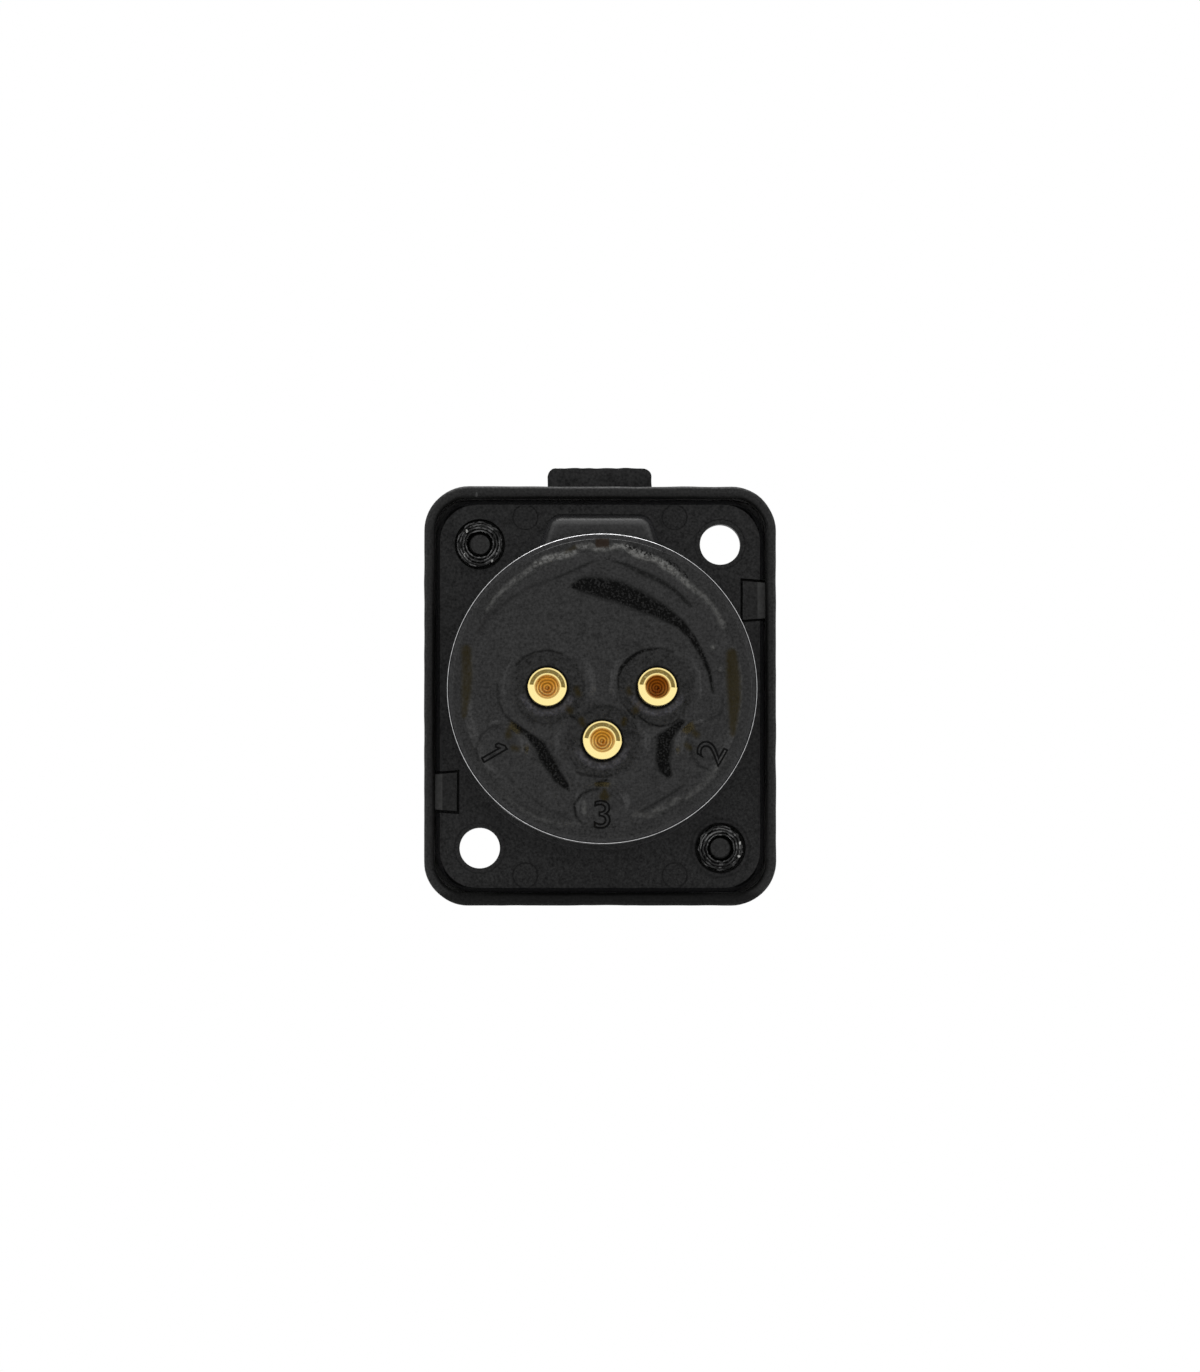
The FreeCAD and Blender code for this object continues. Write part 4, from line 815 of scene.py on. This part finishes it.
def resin_rise(places, froth, sizes):
    """Height of the resin's surface over its CAD plane, in mm, at an array of (right, up)."""
    radius = distance(places, 0.0, 0.0)
    share = numpy.exp((radius.clip(0.0, RESIN_RADIUS) - RESIN_RADIUS) / (sizes.climb_reach / MM))
    rise = sizes.swell / MM * (1.0 + swells(places, 0.45, 3.0)) * (1.0 - share)
    rise += (BARREL_REAR + FILM - RESIN_REAR) * share
    rise += 0.05 * froth * (1.0 + swells(places, 3.0, 7.0))
    cups = [distance(places, -across, up) for across, up in CUPS.values()]
    for away in cups:
        rise = numpy.maximum(rise, (BOSS_RISE + SKIN) * fade(away, BOSS_RADIUS + 0.02, BOSS_RADIUS + 1.3))
    for turn in PAD_ANGLES.values():
        away = distance(places, *on_circle(PAD_CIRCLE, turn))
        climb = fade(away, PAD_RADIUS + 0.02, PAD_RADIUS + 1.4)
        rise = numpy.maximum(rise, (PAD_REAR - RESIN_REAR + SKIN) * climb)
    for away in cups:
        rise[away < CUP_RADIUS - 0.2] = RESIN_FRONT + 0.3 - RESIN_REAR
    return rise


def resin_mesh(sizes):
    """Mesh data of a closed disc of resin, with its marks stored at its points.

    It is spun with its surface, the film's underside and its front at three plain levels, which then get
    their real heights.
    """
    surface, film, front = 0.0, -1.0, -2.0
    profile = ((0.0, surface), (FILM_RADIUS, surface), (FILM_RADIUS, film), (RESIN_RADIUS, film),
               (RESIN_RADIUS, front), (0.0, front))
    mesh = bmesh.new()
    line = [mesh.verts.new((radius, level, 0.0)) for radius, level in profile]
    edges = [mesh.edges.new(pair) for pair in zip(line, line[1:])]
    bmesh.ops.subdivide_edges(mesh, edges=edges[:1], cuts=RESIN_RINGS - 1)
    spin(mesh, RESIN_STEPS)
    bmesh.ops.recalc_face_normals(mesh, faces=mesh.faces)
    data = mesh_data(mesh, "resin_pour")

    count = len(data.vertices)
    points = numpy.empty(3 * count)
    data.vertices.foreach_get("co", points)
    points = points.reshape(count, 3)
    places = points[:, (0, 2)] * (-1.0, 1.0)
    pale = marked(places, PALE_MARKS, 0.12)
    radius = distance(places, 0.0, 0.0)
    below_surface = points[:, 1] < (surface + film) / 2.0
    below_film = points[:, 1] < (film + front) / 2.0
    slot = (below_surface & (numpy.abs(radius - RESIN_RADIUS) < 0.01)
            & (points[:, 2] > 0) & (numpy.abs(points[:, 0]) < KEY_SLOT_HALF - 0.02))
    points[:, 1] = numpy.select([below_film, below_surface], [RESIN_FRONT, BARREL_REAR + FILM / 4.0],
                                RESIN_REAR + resin_rise(places, pale, sizes))
    points[slot, 0] *= KEY_SLOT_RADIUS / radius[slot]
    points[slot, 2] *= KEY_SLOT_RADIUS / radius[slot]
    data.vertices.foreach_set("co", (points * MM).ravel())
    # The dark marks are painted reflections and painted shade lines.
    for name, marks in (("dark", marked(places, PAINTED_SHADE_AND_REFLECTION_MARKS, 0.1)), ("pale", pale),
                        ("amber", marked(places, AMBER_MARKS, 0.18))):
        data.attributes.new(name, "FLOAT", "POINT").data.foreach_set("value", marks)
    data.update()
    return data


def torn_ring(name, across, up, seed, height):
    """Mesh data of the ragged end of a peg, a closed ring."""
    mesh = bmesh.new()
    line = [mesh.verts.new((radius, rise, 0.0)) for radius, rise in TEAR_OUTLINE]
    for pair in zip(line, line[1:] + line[:1]):
        mesh.edges.new(pair)
    spin(mesh, TEAR_STEPS)
    crest = mesh.verts.layers.float.new("crest")
    for vert in mesh.verts:
        side, rise, forth = vert.co
        tear = noise.noise(Vector((side * 1.5, forth * 1.5, seed)))
        fray = noise.noise(Vector((side * 4.0, forth * 4.0, seed + 4.0)))
        vert[crest] = max(0.0, rise)
        if rise > 0.0:
            rise = rise * (0.75 + 0.9 * tear) + 0.25 * fray
        stretch = 1.0 + 0.07 * tear + 0.04 * fray
        vert.co = ((across + side * stretch) * MM, PEG_REAR * MM + rise * height,
                   (up + forth * stretch) * MM)
    bmesh.ops.recalc_face_normals(mesh, faces=mesh.faces)
    return mesh_data(mesh, name)


def uneven_copy(node, edge, wave, scale, seed):
    """Mesh data of a node with its surface pressed in by soft noise of this depth.

    Its edges are first halved until none is longer than edge.
    """
    mesh = joined(NODES[node].data)
    for _ in range(HALVINGS):
        longer = [item for item in mesh.edges if item.calc_length() > edge]
        if not longer:
            break
        bmesh.ops.subdivide_edges(mesh, edges=longer, cuts=1)
        bmesh.ops.triangulate(mesh, faces=mesh.faces)
    low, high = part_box(node)
    middle = (low + high) / 2.0
    reach = (high - low) / 2.0
    for vert in mesh.verts:
        place = vert.co / MM * scale
        for axis in (0, 2):
            swell = noise.noise(place + Vector((seed, 7.0 * axis, seed)))
            vert.co[axis] -= (vert.co[axis] - middle[axis]) / reach[axis] * wave * max(0.0, 0.6 + swell)
    return mesh_data(mesh, node + "_uneven")


class RECEPTACLE_OT_metal(bpy.types.Operator):
    """Coat the housing and finish the latch, the pin and the sleeves"""
    bl_idname = "receptacle.metal"
    bl_label = "Housing and steel"

    def execute(self, context):
        colours = context.scene.receptacle_colours
        dress(["flange_housing"], coat_finish(colours.coat))
        dress(["latch_lever"], steel_finish("lever_steel", colours.steel, (1.0, 0.15, 1.0)))
        dress(["latch_pivot_pin"], steel_finish("pin_steel", colours.steel, (0.15, 1.0, 1.0)))
        sleeve = steel_finish("sleeve_steel", colours.steel, (1.0, 0.2, 1.0))
        dress([name for name in NODES if name.startswith("contact_hood")], sleeve)
        data = mesh_data(joined(NODES["latch_spring"].data), "latch_spring_copy")
        leaf = new_piece("latch_leaf", data, sleeve, ("latch_spring",), smooth=False)
        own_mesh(leaf)
        return {"FINISHED"}


class RECEPTACLE_OT_moulded(bpy.types.Operator):
    """Finish the rubber and plastic parts"""
    bl_idname = "receptacle.moulded"
    bl_label = "Rubber and plastic"

    def execute(self, context):
        colours = context.scene.receptacle_colours
        dress(["flange_boot"], rubber_finish("seal_rubber", colours.rubber, 0.55))
        dress(["plug_face_seal", "insert_oring"], rubber_finish("ring_rubber", colours.rubber, 0.4))
        dress(["contact_insert", "rear_carrier"], insulator_finish(colours.insulator))
        dress(["push_cap"], cap_finish(colours.cap))
        return {"FINISHED"}


class RECEPTACLE_OT_contacts(bpy.types.Operator):
    """Plate the three contacts"""
    bl_idname = "receptacle.contacts"
    bl_label = "Contacts"

    def execute(self, context):
        gold = context.scene.receptacle_colours.gold
        for name, (across, up) in CUPS.items():
            dress(["contact_" + name],
                  gold_finish("contact_gold_" + name, gold, across, up, CUP_FLOORS[name]))
        return {"FINISHED"}


class RECEPTACLE_OT_resin(bpy.types.Operator):
    """Pour the resin: a surface that climbs the wall, the bosses and the pads"""
    bl_idname = "receptacle.resin"
    bl_label = "Resin"

    def execute(self, context):
        colours = context.scene.receptacle_colours
        sizes = context.scene.receptacle_sizes
        new_piece("resin_pour", resin_mesh(sizes), resin_finish(colours.resin, colours.amber),
                  ("potting_seal",))
        return {"FINISHED"}


def number_curve(name, sizes):
    """Outline of a number as a round line."""
    if name == "1":
        curve = bpy.data.curves.new("pad_number_1", "CURVE")
        line = curve.splines.new("POLY")
        line.points.add(len(NUMBER_ONE) - 1)
        for point, (right, up) in zip(line.points, NUMBER_ONE):
            point.co = (right * sizes.digit_height, up * sizes.digit_height, 0.0, 1.0)
        line.use_cyclic_u = True
        curve.dimensions = "2D"
    else:
        curve = bpy.data.curves.new("pad_number_" + name, "FONT")
        curve.body = name
        curve.size = LETTER_HEIGHT * sizes.digit_height
    curve.fill_mode = "NONE"
    curve.bevel_depth = sizes.digit_line
    curve.bevel_resolution = 1
    return curve


def number_mesh(name, turn, context):
    """An outlined number on the resin's CAD plane, at its pad, with its foot away from the axis."""
    holder = bpy.data.objects.new("pad_number_source", number_curve(name, context.scene.receptacle_sizes))
    context.scene.collection.objects.link(holder)
    context.view_layer.update()
    outline = bpy.data.meshes.new_from_object(holder.evaluated_get(context.evaluated_depsgraph_get()))
    bpy.data.objects.remove(holder)
    mesh = joined(outline)
    bpy.data.meshes.remove(outline)
    low = Vector([min(vert.co[axis] for vert in mesh.verts) for axis in range(3)])
    high = Vector([max(vert.co[axis] for vert in mesh.verts) for axis in range(3)])
    right, up = on_circle(DIGIT_CIRCLE * MM, turn)
    facing = Matrix(((-1, 0, 0), (0, 0, 1), (0, 1, 0))).to_4x4()
    wider = 1.0 if name == "1" else LETTER_WIDTH
    matrix = (Matrix.Translation(Vector((-right, RESIN_REAR * MM, up))) @ facing
              @ Matrix.Rotation(math.radians(turn - 270.0), 4, "Z")
              @ Matrix.Diagonal((wider, 1.0, 1.0, 1.0)) @ Matrix.Translation(-(low + high) / 2.0))
    bmesh.ops.transform(mesh, matrix=matrix, verts=mesh.verts)
    return mesh


class RECEPTACLE_OT_digits(bpy.types.Operator):
    """Raise the outlined numbers on the three pads"""
    bl_idname = "receptacle.digits"
    bl_label = "Numbers"

    def execute(self, context):
        sizes = context.scene.receptacle_sizes
        material = black_finish(context.scene.receptacle_colours.insulator)
        for number, turn in PAD_ANGLES.items():
            mesh = number_mesh(number, turn, context)
            places = numpy.array([(-vert.co.x / MM, vert.co.z / MM) for vert in mesh.verts])
            for vert, rise in zip(mesh.verts, resin_rise(places, 0.0, sizes)):
                vert.co.y += rise * MM
            bmesh.ops.recalc_face_normals(mesh, faces=mesh.faces)
            name = "pad_number_" + number
            new_piece(name, mesh_data(mesh, name), material)
        return {"FINISHED"}


class RECEPTACLE_OT_torn_pegs(bpy.types.Operator):
    """Tear the ends of the seal's two pegs"""
    bl_idname = "receptacle.torn_pegs"
    bl_label = "Torn pegs"

    def execute(self, context):
        height = context.scene.receptacle_sizes.flash_height
        material = torn_finish(context.scene.receptacle_colours.rubber)
        for number, (across, up) in enumerate(PEG_PLACES):
            name = "torn_peg_%d" % (number + 1)
            ring = torn_ring(name, across, up, 11.0 + 6.0 * number, height)
            new_piece(name, ring, material)
        return {"FINISHED"}


class RECEPTACLE_OT_uneven_rubber(bpy.types.Operator):
    """Give the seal and the push tab their uneven moulded edges"""
    bl_idname = "receptacle.uneven_rubber"
    bl_label = "Uneven edges"

    def execute(self, context):
        sizes = context.scene.receptacle_sizes
        for node, body, slot, edge, wave, scale in (
                ("flange_boot", "housing", "seal_rubber", 0.0009, sizes.rubber_wave, 0.5),
                ("push_cap", "latch", "cap_plastic", 0.00025, sizes.cap_wear, 1.3)):
            data = uneven_copy(node, edge, wave, scale, 5.0)
            material = NODES[node].data.materials[0]
            new_piece(node + "_shown", data, material, (node,), body, smooth=False)
        return {"FINISHED"}


def emission_world(level):
    """White for the camera and for gloss, and a softer level on the object."""
    world = bpy.data.worlds.new("studio_world")
    world.use_nodes = True
    tree = world.node_tree
    tree.nodes.clear()
    path = tree.nodes.new("ShaderNodeLightPath")
    seen = path.outputs["Is Camera Ray"]
    for name in ("Is Glossy Ray", "Is Transmission Ray"):
        either = tree.nodes.new("ShaderNodeMath")
        either.operation = "MAXIMUM"
        tree.links.new(seen, either.inputs[0])
        tree.links.new(path.outputs[name], either.inputs[1])
        seen = either.outputs["Value"]
    shaders = []
    for strength in (level, 1.0):
        background = tree.nodes.new("ShaderNodeBackground")
        background.inputs["Color"].default_value = (1.0, 1.0, 1.0, 1.0)
        background.inputs["Strength"].default_value = strength
        shaders.append(background.outputs["Background"])
    mixed = tree.nodes.new("ShaderNodeMixShader")
    tree.links.new(seen, mixed.inputs["Fac"])
    tree.links.new(shaders[0], mixed.inputs[1])
    tree.links.new(shaders[1], mixed.inputs[2])
    output = tree.nodes.new("ShaderNodeOutputWorld")
    tree.links.new(mixed.outputs["Shader"], output.inputs["Surface"])
    return world


def turned_to(place, aim):
    """Matrix of a lamp or camera at a place that looks at a point."""
    place = Vector(place)
    turn = (Vector(aim) - place).to_track_quat("-Z", "Y")
    return Matrix.Translation(place) @ turn.to_matrix().to_4x4()


def stage_piece(name, mesh, material):
    """A piece of the studio, not of the object."""
    data = mesh_data(mesh, name)
    data.materials.append(material)
    piece = bpy.data.objects.new(name, data)
    bpy.context.scene.collection.objects.link(piece)
    return piece


class RECEPTACLE_OT_studio(bpy.types.Operator):
    """Set the camera, the floor, the world and the lamps"""
    bl_idname = "receptacle.studio"
    bl_label = "Studio"

    def execute(self, context):
        studio = context.scene.receptacle_studio
        scene = context.scene
        scene.view_settings.view_transform = "Standard"
        scene.world = emission_world(studio.world_level)

        camera = bpy.data.cameras.new("studio_camera")
        camera.lens = studio.lens
        camera.sensor_width = 36.0
        camera.clip_start = 0.01
        camera.clip_end = 20.0
        holder = bpy.data.objects.new("studio_camera", camera)
        holder.matrix_world = turned_to(studio.camera_place, studio.aim)
        scene.collection.objects.link(holder)
        scene.camera = holder

        paper = Finish("studio_paper")
        paper.surface(Base_Color=paper.blend(paper.noise(0.05, 2.0), (0.86, 0.86, 0.86), (0.9, 0.9, 0.9)),
                      Roughness=0.9, Specular_IOR_Level=0.1)
        mesh = bmesh.new()
        bmesh.ops.create_grid(mesh, x_segments=1, y_segments=1, size=0.5)
        bmesh.ops.translate(mesh, vec=(0.0, 0.0, studio.floor_height), verts=mesh.verts)
        stage_piece("studio_floor", mesh, paper.material)

        for name, place, size, power in LAMPS:
            lamp = bpy.data.lights.new(name, "AREA")
            lamp.shape = "SQUARE"
            lamp.size = size
            lamp.energy = power
            holder = bpy.data.objects.new(name, lamp)
            holder.matrix_world = turned_to(place, (0.0, 0.0, 0.0))
            scene.collection.objects.link(holder)
        return {"FINISHED"}


STEPS = (
    RECEPTACLE_OT_studio,
    RECEPTACLE_OT_metal,
    RECEPTACLE_OT_moulded,
    RECEPTACLE_OT_contacts,
    RECEPTACLE_OT_resin,
    RECEPTACLE_OT_digits,
    RECEPTACLE_OT_torn_pegs,
    RECEPTACLE_OT_uneven_rubber,
)


class RECEPTACLE_PT_sidebar(bpy.types.Panel):
    """Every step of the looks"""
    bl_label = "Receptacle"
    bl_idname = "RECEPTACLE_PT_sidebar"
    bl_space_type = "VIEW_3D"
    bl_region_type = "UI"
    bl_category = "Receptacle"

    def draw(self, context):
        for step in STEPS:
            self.layout.operator(step.bl_idname)


SETTINGS = {
    "receptacle_studio": ReceptacleStudioSettings,
    "receptacle_colours": ReceptacleColours,
    "receptacle_sizes": ReceptacleSizes,
}
CLASSES = tuple(SETTINGS.values()) + STEPS + (RECEPTACLE_PT_sidebar,)


def register():
    """Register the classes and the scene's settings."""
    for item in CLASSES:
        bpy.utils.register_class(item)
    for name, group in SETTINGS.items():
        setattr(bpy.types.Scene, name, bpy.props.PointerProperty(type=group))


def unregister():
    """Undo register."""
    for name in SETTINGS:
        delattr(bpy.types.Scene, name)
    for item in reversed(CLASSES):
        bpy.utils.unregister_class(item)


def main():
    """Run every step in order."""
    register()
    for step in STEPS:
        group, name = step.bl_idname.split(".")
        getattr(getattr(bpy.ops, group), name)()


if __name__ == "__main__":
    main()
